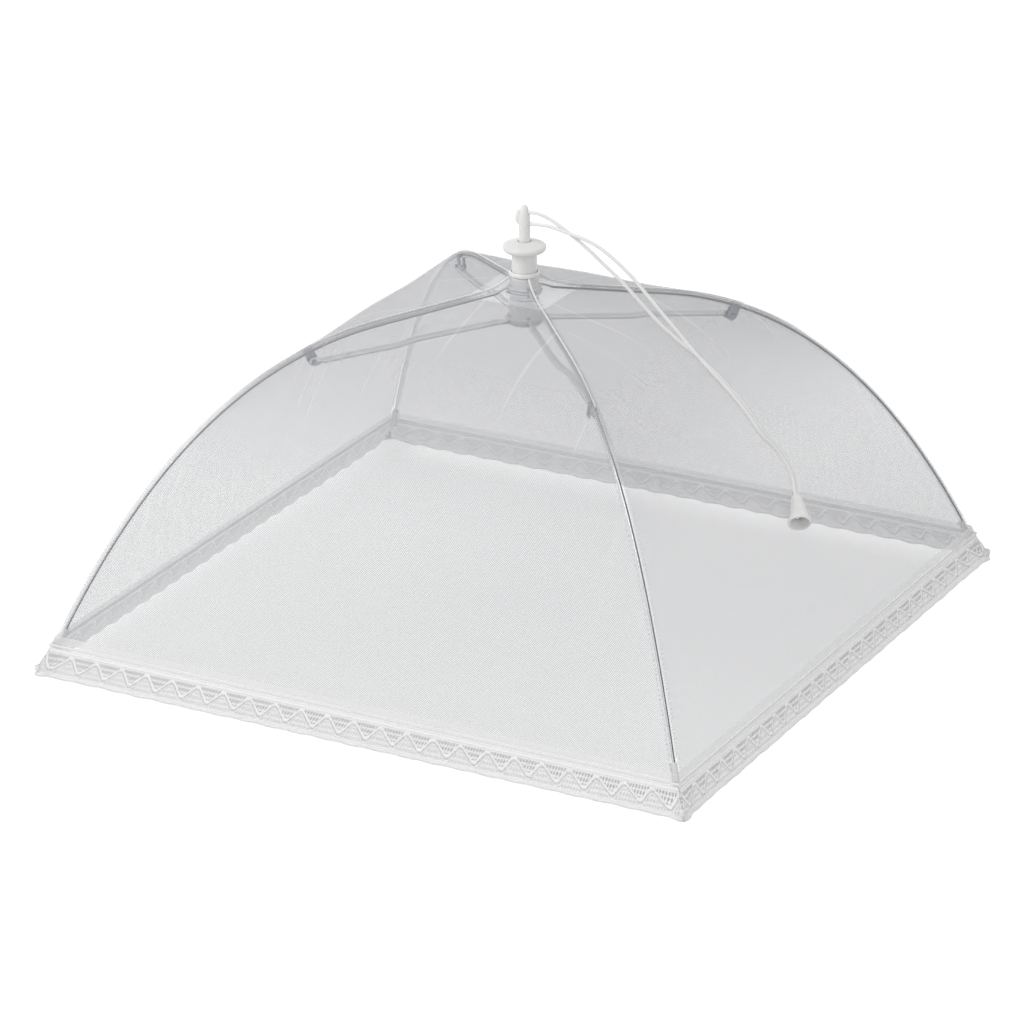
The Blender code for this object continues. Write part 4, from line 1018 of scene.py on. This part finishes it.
def finish(kind):
    """Each material, made once."""
    if kind not in MADE:
        colours, net = settings("finishes"), settings("net")
        recipes = {
            "plastic": lambda: moulded_plastic("moulded_white", tuple(colours.plastic)),
            "bell": lambda: moulded_plastic("moulded_bell", tint(colours.plastic, 1.02), 1.5),
            "wire": lambda: drawn_wire("drawn_nickel", tuple(colours.wire)),
            "ring": lambda: zinc_plate("bright_plate", tint(colours.zinc, 2.8)),
            "zinc": lambda: zinc_plate("zinc_plate", tuple(colours.zinc)),
            "steel": lambda: rolled_steel("rolled_strip", tuple(colours.steel)),
            "net": lambda: net_cloth("sheer_net", tuple(colours.net), net),
            "neck": lambda: neck_cloth("gathered_net", tuple(colours.net), net),
            "lace": lambda: lace_cloth("knitted_lace", tuple(colours.lace), net),
            "tape": lambda: seam_tape_cloth("seam_tape_weave", tuple(colours.tape)),
            "hem": lambda: rolled_hem("rolled_hem", tuple(colours.tape)),
            "cord": lambda: braided_cord("braided_white", tuple(colours.cord), settings("cord")),
        }
        MADE[kind] = recipes[kind]()
    return MADE[kind]


def fold_with_rib(item):
    """Give a piece its own copy of its mesh."""
    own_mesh(item)
    return item


def half_name(word, quarter, mirrored):
    side = SIDES[(quarter + mirrored) % 4]
    return f"{word}_{side}_by_{CORNERS[quarter]}", side


def half_sheet(x, across, z, quarter, mirrored):
    """Points of half a side, from the side's middle (across 0) to the corner's diagonal (across 1). The
    other half of the same corner is its mirror image in the diagonal."""
    x, across, z = np.broadcast_arrays(x, across, z)
    flat = (across * x, x, z) if mirrored else (x, across * x, z)
    return quarter_turn(np.stack(flat, -1), quarter)


def build_net_half(line, quarter, mirrored):
    """(half a gore, its length, its width at the hem): over each place along the rib lies one level line,
    from the side's middle to the rib. A slight hollow of the stretched net, 0.6 mm deep, lies between the
    rib and the middle."""
    net = line.cloth
    start, stop = net.neck_part, line.where_height(net.net_plane,
                                                   net.lace_top + 2 * net.sewn_gap + 2 * net.hem_radius)
    along = np.linspace(start, stop, 90)
    across = np.linspace(0, 1, 34)
    x, z = line.net(along, net.net_plane)
    high_share = (along - start) / (stop - start)
    hollow = NET_HOLLOW * np.sin(math.pi * high_share)[:, None] * np.sin(math.pi * across)[None, :] ** 2
    name, side = half_name("net", quarter, mirrored)
    points = half_sheet(x[:, None] - hollow, across[None, :], z[:, None] - hollow, quarter, mirrored)
    run = run_along(x, z)
    width = across[None, :] * x[:, None]
    weave = stacked(-width if mirrored else width, run[:, None] + start)
    edges = stacked(x[:, None] - width, run[-1] - run[:, None])
    mesh = grid_mesh(name, points, {"weave": weave, "edges": edges}, flip=bool(mirrored), merge=False)
    item = show(mesh, finish("net"), f"rib_{CORNERS[quarter]}", [f"gore_{side}"])
    thicken(item, net.thickness, rim=False)
    fold_with_rib(item)
    return item, float(run[-1]), float(x[-1])


def build_neck_net(line, quarter):
    """The net round the neck at one corner: its level lines change from a circle under the clamp ring to
    the square of the gores, as circle + (square - circle) * (3 v^2 - 2 v^3)."""
    net = line.cloth
    along = np.linspace(line.net_top(), net.neck_part, 26)
    x, z = line.net(along, net.net_plane)
    v = (along - along[0]) / (along[-1] - along[0])
    mix = smooth_share(v / 0.92)[:, None]
    turn = np.linspace(-math.pi / 4, math.pi / 4, 49)[None, :]
    square_x = np.where(turn <= 0, 1.0, np.tan(math.pi / 4 - turn)) * x[:, None]
    square_y = np.where(turn <= 0, np.tan(turn + math.pi / 4), 1.0) * x[:, None]
    radius = net.neck_half + (x - x[0])[:, None] * 1.06
    circle_x, circle_y = radius * np.cos(turn + math.pi / 4), radius * np.sin(turn + math.pi / 4)
    points = stacked(circle_x + (square_x - circle_x) * mix, circle_y + (square_y - circle_y) * mix,
                     z[:, None])
    run = run_along(x, z)
    ridge = np.abs(turn) * x[:, None]
    weave = stacked(turn * x[:, None], run[:, None])
    edges = stacked(ridge, run[:, None])
    fan = stacked(turn, run[:, None])
    name = f"neck_net_{CORNERS[quarter]}"
    mesh = grid_mesh(name, quarter_turn(points, quarter), {"weave": weave, "edges": edges, "fan": fan},
                     merge=False)
    item = smooth_item(mesh, finish("neck"))
    thicken(item, net.thickness, rim=False)
    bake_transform(item)
    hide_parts(f"gore_{SIDES[quarter]}")
    roll_points = points[:, 24] + np.array([0, 0, net.roll_radius * 0.4])
    thinner = net.roll_radius * (1 - 0.35 * v)
    roll = tube(f"seam_roll_{CORNERS[quarter]}", quarter_turn(roll_points, quarter), thinner, 12,
                on_diagonal(0.0, 0.0, 1.0, quarter))
    roll_item = smooth_item(roll, finish("hem"))
    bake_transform(roll_item)
    return item, roll_item


def build_seam_sleeve(line, quarter):
    """The bound seam over a rib, from the neck net down to the bracket: a round roll on the net's ridge
    that thins out."""
    net = line.cloth
    along = np.linspace(net.neck_part - 0.0005, net.sleeve_to, 90)
    x, z = line.net(along, net.net_plane)
    path = np.stack([x, x, z + 0.4 * net.roll_radius], -1)
    radius = net.roll_radius * (0.65 - 0.25 * smooth_share((along - 0.05) / (net.sleeve_to - 0.05)))
    mesh = tube(f"seam_sleeve_{CORNERS[quarter]}", quarter_turn(path, quarter), radius, 12,
                on_diagonal(0.0, 0.0, 1.0, quarter))
    return show(mesh, finish("hem"), f"rib_{CORNERS[quarter]}")


def build_lace_half(line, quarter, mirrored):
    """Half a strip of lace. Its lower edge rises between scallops as scallop * (1 - cos(2 pi u / repeat)) /
    2, and waves in and out by ruffle * (0.6 - cos(2 pi u / repeat) + 0.6 cos(0.74 pi u / repeat)), more
    towards the edge."""
    net = line.cloth
    top = line.where_height(net.net_plane, net.lace_top)
    head_x, head_z = (float(v) for v in line.net(top, net.net_plane))
    far_x, far_z = (float(v) for v in line.net(line.along[-1], net.net_plane))
    slope = (far_x - head_x) / (head_z - far_z)
    across = np.linspace(0, 1, 193)[None, :]
    down = np.linspace(0, 1, 13)[:, None]
    foot_x = head_x + slope * head_z
    turn = 2 * math.pi * across * foot_x / net.lace_repeat
    scallop = net.scallop * (1 - np.cos(turn)) / 2
    z = head_z * (1 - down) + scallop * down
    wave = net.ruffle * (0.6 - np.cos(turn) + 0.6 * np.cos(0.37 * turn)) * down ** 1.5
    pleat = smooth_share((across - 0.945) / 0.03) - 0.45 * smooth_share((across - 0.98) / 0.02)
    x = head_x + slope * (head_z - z) + wave + net.flare * pleat * smooth_share(down * 1.6)
    name, side = half_name("lace", quarter, mirrored)
    points = half_sheet(x, across, z, quarter, mirrored)
    weave = stacked(across * (-foot_x if mirrored else foot_x), head_z - z)
    mesh = walled(name, points, weave, net.lace_thickness)
    item = show(mesh, finish("lace"), f"rib_{CORNERS[quarter]}", [f"lace_{side}"])
    return fold_with_rib(item)


def build_corner_knot(line, quarter):
    """The lace's sewn corner: a lumpy ball, radius * (1 + 0.13 sin(3 turn) sin(2 rise) + 0.06 sin(7 turn +
    5 rise)), drawn out upwards."""
    net = line.cloth
    turn = full_turn(28)[None, :]
    rise = np.linspace(0, math.pi, 17)[:, None]
    bumps = 0.13 * np.sin(3 * turn) * np.sin(2 * rise) + 0.06 * np.sin(7 * turn + 5 * rise)
    lumps = net.knot_radius * (1 + bumps)
    lumps[0], lumps[-1] = net.knot_radius, net.knot_radius
    foot = line.where_height(net.net_plane, net.knot_height)
    corner_x = float(line.net(foot, net.net_plane)[0]) + 0.3 * net.flare
    ball = [lumps * np.sin(rise) * np.cos(turn), lumps * np.sin(rise) * np.sin(turn),
            1.35 * lumps * np.cos(rise)]
    points = stacked(*ball) + np.array([corner_x, corner_x, net.knot_height])
    around = np.linspace(0, 2 * math.pi * net.knot_radius, 29)[None, :]
    weave = stacked(around, rise * net.knot_radius)
    mesh = closed(grid_mesh(f"lace_corner_{CORNERS[quarter]}", quarter_turn(points, quarter),
                            {"weave": weave}, wrap_columns=True))
    item = show(mesh, finish("hem"), f"rib_{CORNERS[quarter]}")
    return fold_with_rib(item)


def build_hem_half(line, quarter, mirrored):
    """Half a side's corded roll: a circle carried along the side and mitred at the corner."""
    net = line.cloth
    at = line.where_height(net.net_plane, net.lace_top + net.sewn_gap + net.hem_radius)
    mid_x, mid_z = (float(v) for v in line.net(at, net.net_plane))
    turn = full_turn(12)[None, :]
    across = np.linspace(0, 1, 120)[:, None]
    ends = ((1, 1), (0, 0))
    swell = net.hem_radius * (1 + 0.06 * np.sin(across * 300.0))
    x = np.pad(mid_x + swell * np.cos(turn), ends, constant_values=mid_x)
    z = np.pad(mid_z + swell * np.sin(turn), ends, constant_values=mid_z)
    across = np.pad(across, ends, mode="edge")
    points = half_sheet(x, across, z, quarter, mirrored)
    around = np.linspace(0, 2 * math.pi * net.hem_radius, 13)[None, :]
    weave = stacked(around, across * mid_x)
    name, side = half_name("hem", quarter, mirrored)
    mesh = closed(grid_mesh(name, points, {"weave": weave}, wrap_columns=True))
    item = show(mesh, finish("hem"), f"rib_{CORNERS[quarter]}", [f"hem_cord_{side}"],
                sharp=50)
    return fold_with_rib(item)


def build_tape(line, quarter):
    """The seam tape over one rib: an arm on each gore, joined over the wire by a smooth maximum, (sqrt(q^2
    + e^2) + q) / 2."""
    net = line.cloth
    along = np.linspace(net.tape_from, net.tape_to, 90)
    x, z = line.net(along, net.over_wire - net.tape_gap)
    q = np.linspace(-1, 1, 15)[None, :]
    soft = 0.18

    def arm(value):
        return net.tape_arm * (np.sqrt(value ** 2 + soft ** 2) + value) / 2

    points = stacked(x[:, None] - arm(q), x[:, None] - arm(-q), z[:, None])
    run = run_along(x, z)
    weave = stacked(q * net.tape_arm, run[:, None])
    mesh = grid_mesh(f"tape_{CORNERS[quarter]}", quarter_turn(points, quarter), {"weave": weave},
                     merge=False)
    item = show(mesh, finish("tape"), f"rib_{CORNERS[quarter]}",
                [f"seam_tape_{CORNERS[quarter]}"])
    return thicken(item, TAPE_THICKNESS)


def build_rib_wire(line, quarter):
    """A wire in the rib's own plane: three quarters of a turn round the ring, then back to the rib's line
    and along it to its tip."""
    ribs = line.ribs
    hook = ribs.hook_inside + ribs.hook_wire_radius
    slope = ribs.crown_slope
    away, up = np.array([math.cos(slope), -math.sin(slope)]), np.array([math.sin(slope), math.cos(slope)])
    pivot = np.array([ribs.ring_radius, line.crown_z])
    turn = np.radians(np.linspace(-30, -270, 40))[:, None]
    bent = pivot + hook * (np.cos(turn) * away + np.sin(turn) * up)
    run = np.linspace(0.0004, ribs.swage_to, 16, endpoint=False)
    swaged = pivot + run[:, None] * away + (hook * (1 - smooth_share(run / ribs.swage_to)))[:, None] * up
    along = np.linspace(ribs.swage_to, ribs.rib_length, ribs.steps)
    out, high, _ = line.at(along)
    path = np.concatenate([bent, swaged, np.stack([out, high], -1)])
    thin, full = ribs.hook_wire_radius, ribs.wire_radius
    grown = thin + (full - thin) * smooth_share((run - ribs.swage_from) / (ribs.swage_to - ribs.swage_from))
    radius = np.concatenate([np.full(40, thin), grown, np.full(ribs.steps, full)])
    course = unit(np.gradient(path, axis=0))
    # The reference direction sets where this wire's painted dark reflection band starts.
    mark = math.radians(PAINTED_REFLECTION_STARTS[quarter])
    way = on_diagonal(-course[:, 1] * math.sin(mark), course[:, 0] * math.sin(mark), math.cos(mark),
                      quarter)
    mesh = tube(f"wire_{CORNERS[quarter]}", on_diagonal(path[:, 0], path[:, 1], 0.0, quarter), radius,
                ribs.sides, way)
    return show(mesh, finish("wire"), f"rib_{CORNERS[quarter]}",
                [f"rib_wire_{CORNERS[quarter]}"])


def build_ring(name, node, body, height):
    """A ring of wire: a circle carried round the upright axis."""
    ribs = settings("ribs")
    turn = full_turn(16)
    section = np.stack([ribs.ring_radius + ribs.ring_wire_radius * np.cos(turn),
                        height + ribs.ring_wire_radius * np.sin(turn)], -1)
    return show(lathe(name, section, 96), finish("ring"), body, [node])


def build_crown(line):
    """The crown's outline: bore, foot, ringed groove between two lips, neck, flange and mouth, with moulded
    edges."""
    hub, ring = settings("hubs"), line.crown_z
    lips = hub.groove_half + hub.lip_thick
    neck_foot = ring + hub.neck_foot
    edge_z = neck_foot + hub.neck_height + hub.flange_under
    flange_foot = edge_z - hub.flange_cone
    top = edge_z + hub.flange_over
    e = hub.edge
    slot_low, slot_high = ring - lips - hub.lip_thick, ring + lips + hub.lip_thick
    below = [(hub.body, ring - hub.crown_foot), (hub.body, slot_low)]
    groove = [
        (hub.body, slot_low), (hub.body, ring - lips), (hub.lip, ring - lips),
        (hub.lip, ring - hub.groove_half), (hub.body, ring - hub.groove_half),
        (hub.body, ring + hub.groove_half), (hub.lip, ring + hub.groove_half), (hub.lip, ring + lips),
        (hub.body, ring + lips), (hub.body, slot_high),
    ]
    above = [
        (hub.body, slot_high), (hub.body, neck_foot), (hub.neck, neck_foot), (hub.neck, flange_foot),
        (hub.flange - 2 * e, edge_z - 2.4 * hub.flange_edge), (hub.flange, edge_z - hub.flange_edge),
        (hub.flange, edge_z + hub.flange_edge), (hub.flange - 2 * e, edge_z + 2 * hub.flange_edge),
        (hub.neck + 3 * e, top - 2 * e), (hub.mouth, top),
        (hub.bore, top), (hub.bore, ring - hub.crown_foot), (hub.body, ring - hub.crown_foot),
    ]
    outline = rounded_outline(below[:1] + above[1:-1], 0.0005)
    start = int(np.argmin(np.abs(outline[:, 1] - (ring - hub.crown_foot))
                          + np.abs(outline[:, 0] - hub.body)))
    outline = np.roll(outline, -start, 0)
    split = int(np.argmax(outline[:, 1] > ring))
    lower, upper = outline[:split], outline[split:]
    beside = rounded_outline(groove, 0.00025, 4)[4:-4]
    beside = np.concatenate([[groove[0]], beside, [groove[-1]]])
    mesh = slotted_lathe("crown", lower, beside, upper, hub.slot_half, hub.slot_floor, hub.round_steps)
    show(mesh, finish("plastic"), "crown", ["crown_hub"], sharp=MOULDED_SHARP)
    foot, inner, outer = neck_foot + hub.clamp_gap, hub.clamp_inner, hub.clamp_outer
    clamp = [
        (inner, foot), (outer, foot), (outer, foot + hub.clamp_height - 2 * e),
        (outer - 2 * e, foot + hub.clamp_height), (inner, foot + hub.clamp_height),
    ]
    mesh = lathe("clamp_ring", rounded_outline(clamp, 0.0005), 112)
    show(mesh, finish("plastic"), "crown", ["net_clamp_ring"], sharp=MOULDED_SHARP)
    build_ring("crown_ring", "crown_ring_wire", "crown", ring)


def build_runner(line):
    """The lower hub's outline: foot, ringed groove between two tapered lips, body and bore, with moulded
    edges."""
    hub, ring = settings("hubs"), line.crown_z - settings("hubs").runner_drop
    lips, e = hub.groove_half + hub.lip_thick, hub.edge
    seat = line.crown_z - hub.crown_foot - hub.runner_gap
    foot = ring - hub.runner_foot
    slot_high = ring + lips + hub.lip_thick
    whole = [
        (hub.runner_bore, foot), (hub.runner_body, foot), (hub.runner_lip - e, ring - lips),
        (hub.runner_lip, ring - hub.groove_half), (hub.body, ring - hub.groove_half),
        (hub.body, ring + hub.groove_half), (hub.runner_lip, ring + hub.groove_half),
        (hub.runner_lip - e, ring + lips), (hub.runner_body, ring + lips), (hub.runner_body, slot_high),
        (hub.runner_body, seat - e), (hub.runner_body - e, seat), (hub.runner_bore, seat),
    ]
    outline = rounded_outline(whole, 0.00028, 4)
    outline = np.roll(outline, -2, 0)
    stop = int(np.argmax(outline[:, 1] >= slot_high - 1e-5))
    mesh = slotted_lathe("runner", outline[:3], outline[3:stop + 1], outline[stop + 1:], hub.slot_half,
                         hub.slot_floor, hub.round_steps)
    show(mesh, finish("plastic"), "plunger", ["runner_hub"], sharp=MOULDED_SHARP)
    build_ring("runner_ring", "runner_ring_wire", "plunger", ring)
    refined_copy("plunger_rod", "rod", finish("plastic"), "plunger", ROD_ROUNDING)


def build_fittings(fittings, corner, body):
    """The refined copies of a corner's small CAD parts."""
    return [
        refined_copy(f"{node}_{corner}", f"{piece}_{corner}", finish(kind), body, rounding)
        for node, piece, kind, slot, rounding in fittings
    ]


def cord_plane(out, high):
    """Points of the cord's upright plane."""
    azimuth = settings("cord").azimuth
    return stacked(out * math.cos(azimuth), out * math.sin(azimuth), high)


STRAND_FINENESS = 24


def smooth_line(points, fineness=STRAND_FINENESS):
    """A smooth curve through points: between two of them a cubic whose ends are aimed by the points before
    and after."""
    points = np.array(points, float)
    points = np.concatenate([[2 * points[0] - points[1]], points, [2 * points[-1] - points[-2]]])
    before, a, b, after = (points[k:len(points) - 3 + k, None] for k in range(4))
    t = np.linspace(0, 1, fineness, endpoint=False)[None, :, None]
    curve = 0.5 * (2 * a + (b - before) * t + (2 * before - 5 * a + 4 * b - after) * t ** 2
                   + (3 * a - before - 3 * b + after) * t ** 3)
    return np.concatenate([curve.reshape(-1, 3), points[-2:-1]])


def even_points(path, steps):
    """So many points at even steps along a line."""
    run = run_along(*path.T)
    at = np.linspace(0, run[-1], steps)
    return np.stack([np.interp(at, run, path[:, axis]) for axis in range(3)], -1), float(run[-1])


def strand_line(line, strand, side):
    """One strand from the rod to the bell, beside the other on the net, as (run part, tail part)."""
    cord = settings("cord")
    axis = unit(np.array(BELL_AXIS))
    end = np.array(BELL_TOP) + (cord.knot_depth - cord.knot_radius - line.cloth.sewn_gap) * axis
    flat = np.array(strand)
    start = cord_plane(flat[:, 0], flat[:, 1])
    route = np.concatenate([start, [BEND], STRAND_TAIL, [BELL_TOP], [end]])
    path = smooth_line(route)
    way = unit(np.gradient(path, axis=0))
    along = np.interp(path[:, 0] * DIAGONAL, line.out, line.along)
    slope = np.arctan(DIAGONAL * np.tan(np.interp(along, line.along, line.slope)))
    normal = stacked(np.sin(slope), 0.0, np.cos(slope))
    beside = unit(np.cross(normal, way))
    spread = smooth_share((path[:, 0] - cord.spread_from) / cord.spread_over)[:, None]
    path = path + side * cord.pair_half * spread * beside
    split = len(strand) * STRAND_FINENESS
    return path[:split + 1], path[split:]


class COVER_OT_stage(bpy.types.Operator):
    """Set up the camera, the pale floor, the even light and the soft lamps"""

    bl_idname = "cover.stage"
    bl_label = "Stage and Camera"

    def execute(self, context):
        view, looks = settings("view"), settings("finishes")
        back = np.array([
            math.sin(view.azimuth) * math.cos(view.elevation),
            -math.cos(view.azimuth) * math.cos(view.elevation),
            math.sin(view.elevation),
        ])
        data = bpy.data.cameras.new("camera")
        data.lens = view.lens
        data.sensor_width = view.sensor
        data.sensor_fit = "HORIZONTAL"
        camera = bpy.data.objects.new("camera", data)
        context.collection.objects.link(camera)
        camera.location = np.array(view.target) + view.distance * back
        camera.rotation_euler = (math.pi / 2 - view.elevation, 0.0, view.azimuth)
        context.scene.camera = camera
        context.scene.cycles.transparent_max_bounces = 24
        context.scene.view_settings.view_transform = "Standard"

        half, deep = view.floor_half, -view.floor_depth
        mesh = bpy.data.meshes.new("floor")
        corners = [(-half, -half, deep), (half, -half, deep), (half, half, deep), (-half, half, deep)]
        mesh.from_pydata(corners, [], [(0, 1, 2, 3)])
        floor = bpy.data.objects.new("floor", mesh)
        context.collection.objects.link(floor)
        look = Finish("pale_floor")
        seen = seen_directly(look.tree)
        grain = look.noise(look.place(), 3.0, 2.0)
        matt = look.add("ShaderNodeBsdfDiffuse", values={
            "Color": look.between(grain, tint(looks.floor, 0.995), tint(looks.floor, 1.005))})
        east, north, _ = look.split(look.place())
        # Painted shadow: the floor glows less in a square under the cover.
        under = abs(east).higher_of(abs(north)).fall(0.150, 0.180)
        glow = look.add("ShaderNodeEmission", values={
            "Strength": seen * (looks.floor_glow + (looks.painted_shadow_glow - looks.floor_glow) * under)})
        both = look.add("ShaderNodeAddShader", values={0: matt, 1: glow})
        look.tree.links.new(both.socket, look.tree.nodes["Material Output"].inputs["Surface"])
        mesh.materials.append(look.material)

        world = bpy.data.worlds.new("studio")
        context.scene.world = world
        world.use_nodes = True
        tree = world.node_tree
        sky = tree.nodes["Background"]
        seen = seen_directly(tree)
        sky.inputs["Color"].default_value = (1.0, 1.0, 1.0, 1.0)
        give(tree, sky.inputs["Strength"], looks.sky + (1 - looks.sky) * seen)

        for name, place, size, power, color in (
            ("key_lamp", (-1.5, -1.8, 2.2), 1.8, looks.key, (1.0, 0.995, 0.985)),
            ("fill_lamp", (2.2, -0.6, 1.6), 1.6, looks.fill, (0.97, 0.985, 1.0)),
            ("back_lamp", (0.2, 2.4, 2.2), 1.8, looks.fill, (0.98, 0.99, 1.0)),
        ):
            lamp = bpy.data.lights.new(name, "AREA")
            lamp.shape = "DISK"
            lamp.size = size
            lamp.energy = power
            lamp.color = color
            item = bpy.data.objects.new(name, lamp)
            context.collection.objects.link(item)
            item.location = place
            direction = -np.array(place)
            flat = math.hypot(direction[0], direction[1])
            item.rotation_euler = (math.atan2(flat, -direction[2]), 0.0,
                                   math.atan2(direction[1], direction[0]) - math.pi / 2)
        return {"FINISHED"}


class COVER_OT_bell(bpy.types.Operator):
    """Make the moulded bell and the knot inside it"""

    bl_idname = "cover.bell"
    bl_label = "Bell and Knot"

    def execute(self, context):
        cord, e = settings("cord"), settings("hubs").edge
        inner = cord.bell_mouth - cord.bell_wall
        outline = [
            (cord.bell_hole, 0.0), (cord.bell_top, 0.0), (cord.bell_top + e, cord.bell_length / 6),
            (cord.bell_mouth - 3 * e, cord.bell_length * 0.75),
            (cord.bell_mouth, cord.bell_length - 2 * cord.bell_wall), (cord.bell_mouth, cord.bell_length),
            (inner, cord.bell_length), (inner - 2 * cord.bell_wall, cord.bell_length * 0.7),
            (cord.bell_hole + cord.bell_wall, cord.bell_throat + cord.bell_wall),
            (cord.bell_hole, cord.bell_throat),
        ]
        bell = place_mesh(lathe("bell", rounded_outline(outline, 0.0016, 7), 96), BELL_AXIS, BELL_TOP)
        show(bell, finish("bell"), "cord_tail", ["pull_bell"], sharp=40)

        # A trefoil: (sin t + 2 sin 2t, cos t - 2 cos 2t, -sin 3t), which closes on itself.
        t = np.linspace(0, 2 * math.pi, 121)
        size = (cord.knot_radius - 0.8 * cord.radius) / 3
        path = size * np.stack([np.sin(t) + 2 * np.sin(2 * t), np.cos(t) - 2 * np.cos(2 * t),
                                -1.5 * np.sin(3 * t)], -1)
        bend = np.gradient(np.gradient(path, axis=0), axis=0)
        middle = np.array(BELL_TOP) + cord.knot_depth * unit(np.array(BELL_AXIS))
        knot = place_mesh(tube("knot", path, 0.8 * cord.radius, 12, bend), BELL_AXIS, middle)
        show(knot, finish("cord"), "cord_tail", ["cord_knot"])
        return {"FINISHED"}


class COVER_OT_cords(bpy.types.Operator):
    """Make the two strands of the pull cord and the bight through the rod"""

    bl_idname = "cover.cords"
    bl_label = "Pull Cord"

    def execute(self, context):
        cord, line = settings("cord"), RibLine()
        across = np.array([math.sin(cord.azimuth), -math.cos(cord.azimuth), 0.0])
        turn = np.linspace(-math.pi / 2, math.pi / 2, 41)
        middle, half = (cord.hole_low + cord.hole_high) / 2, (cord.hole_high - cord.hole_low) / 2
        bend = cord_plane(-cord.bight_in - cord.bight_bulge * np.cos(turn), middle + half * np.sin(turn))
        low, high = cord_plane(cord.bight_out, cord.hole_low), cord_plane(cord.bight_out, cord.hole_high)
        path = smooth_line(np.concatenate([[low], bend[::4], [high]]), 8)
        swell = 1.05 + 0.75 * np.sin(np.linspace(0, math.pi, len(path))) ** 2
        mesh = tube("bight", path, cord.radius * swell, cord.sides, across)
        bight = show(mesh, finish("cord"), "plunger", ["cord_bight"])

        dip = CORD_CHORD_NORMAL[0] * cord_plane(1.0, 0.0) + np.array([0.0, 0.0, CORD_CHORD_NORMAL[1]])
        for word, strand, side in (("upper", UPPER_STRAND, 1), ("lower", LOWER_STRAND, -1)):
            run, tail = strand_line(line, strand, side)
            for part, way, body, steps in (
                ("strand", run, "cord_run", cord.steps),
                ("end", tail, "cord_tail", cord.steps // 3),
            ):
                way, long = even_points(way, steps)
                mesh = tube(f"{part}_{word}", way, cord.radius, cord.sides, across)
                item = show(mesh, finish("cord"), body, [f"cord_{part}_{word}"])
                if part == "strand":
                    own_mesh(item)
        return {"FINISHED"}


class COVER_OT_hubs(bpy.types.Operator):
    """Make the crown, its clamp ring, the lower hub, the rod and the two rings of wire"""

    bl_idname = "cover.hubs"
    bl_label = "Crown, Lower Hub and Rod"

    def execute(self, context):
        line = RibLine()
        build_crown(line)
        build_runner(line)
        return {"FINISHED"}


class COVER_OT_ribs(bpy.types.Operator):
    """Make the four ribs with their brackets, rivets and tip caps"""

    bl_idname = "cover.ribs"
    bl_label = "Ribs"

    def execute(self, context):
        line = RibLine()
        for quarter, corner in enumerate(CORNERS):
            build_rib_wire(line, quarter)
            build_fittings(RIB_FITTINGS, corner, f"rib_{corner}")
        return {"FINISHED"}


class COVER_OT_struts(bpy.types.Operator):
    """Make the four channel struts and their rivets"""

    bl_idname = "cover.struts"
    bl_label = "Struts"

    def execute(self, context):
        line = RibLine()
        for quarter, corner in enumerate(CORNERS):
            channel, _ = build_fittings(STRUT_FITTINGS, corner, f"strut_{corner}")
            strip_map(channel, line, quarter)
        return {"FINISHED"}


class COVER_OT_net(bpy.types.Operator):
    """Make the net with its seams, corded hem and lace"""

    bl_idname = "cover.net"
    bl_label = "Net, Hem and Lace"

    def execute(self, context):
        line = RibLine()
        plane = line.cloth.net_plane
        x, z = line.net(np.linspace(line.cloth.neck_part, line.where_height(plane, CUT_LINE), 400), plane)
        area = float(np.sum(np.hypot(np.diff(x), np.diff(z)) * (x[1:] + x[:-1]) / 2))
        for quarter, corner in enumerate(CORNERS):
            neck, roll = build_neck_net(line, quarter)
            tape = build_tape(line, quarter)
            sleeve = build_seam_sleeve(line, quarter)
            sewn = build_corner_knot(line, quarter)
            for mirrored in (0, 1):
                lace = build_lace_half(line, quarter, mirrored)
                hem = build_hem_half(line, quarter, mirrored)
                net, long, wide = build_net_half(line, quarter, mirrored)
                with_pieces = [lace, hem] + ([] if mirrored else [neck, roll, tape, sleeve, sewn])
        return {"FINISHED"}


class COVER_PT_panel(bpy.types.Panel):
    """The steps that build the cover"""

    bl_label = "Food Cover"
    bl_idname = "COVER_PT_panel"
    bl_space_type = "VIEW_3D"
    bl_region_type = "UI"
    bl_category = "Food Cover"

    def draw(self, context):
        for step in STEPS:
            self.layout.operator(step.bl_idname, text=step.bl_label)
        for group, kind in GROUPS.items():
            box = self.layout.box()
            box.label(text=kind.__doc__)
            for name in kind.__annotations__:
                box.prop(settings(group), name)


STEPS = (COVER_OT_stage, COVER_OT_bell, COVER_OT_cords, COVER_OT_hubs, COVER_OT_ribs, COVER_OT_struts,
         COVER_OT_net)
GROUPS = {"ribs": CoverRibs, "net": CoverNet, "hubs": CoverHubs, "cord": CoverCord,
          "finishes": CoverFinishes, "view": CoverView}
CLASSES = (*GROUPS.values(), *STEPS, COVER_PT_panel)


def register():
    for kind in CLASSES:
        bpy.utils.register_class(kind)
    for group, kind in GROUPS.items():
        setattr(bpy.types.Scene, f"cover_{group}", PointerProperty(type=kind))


def unregister():
    for group in GROUPS:
        delattr(bpy.types.Scene, f"cover_{group}")
    for kind in reversed(CLASSES):
        bpy.utils.unregister_class(kind)


def main():
    register()
    for step in (
        bpy.ops.cover.stage, bpy.ops.cover.bell, bpy.ops.cover.cords, bpy.ops.cover.hubs,
        bpy.ops.cover.ribs, bpy.ops.cover.struts, bpy.ops.cover.net,
    ):
        step()


if __name__ == "__main__":
    main()
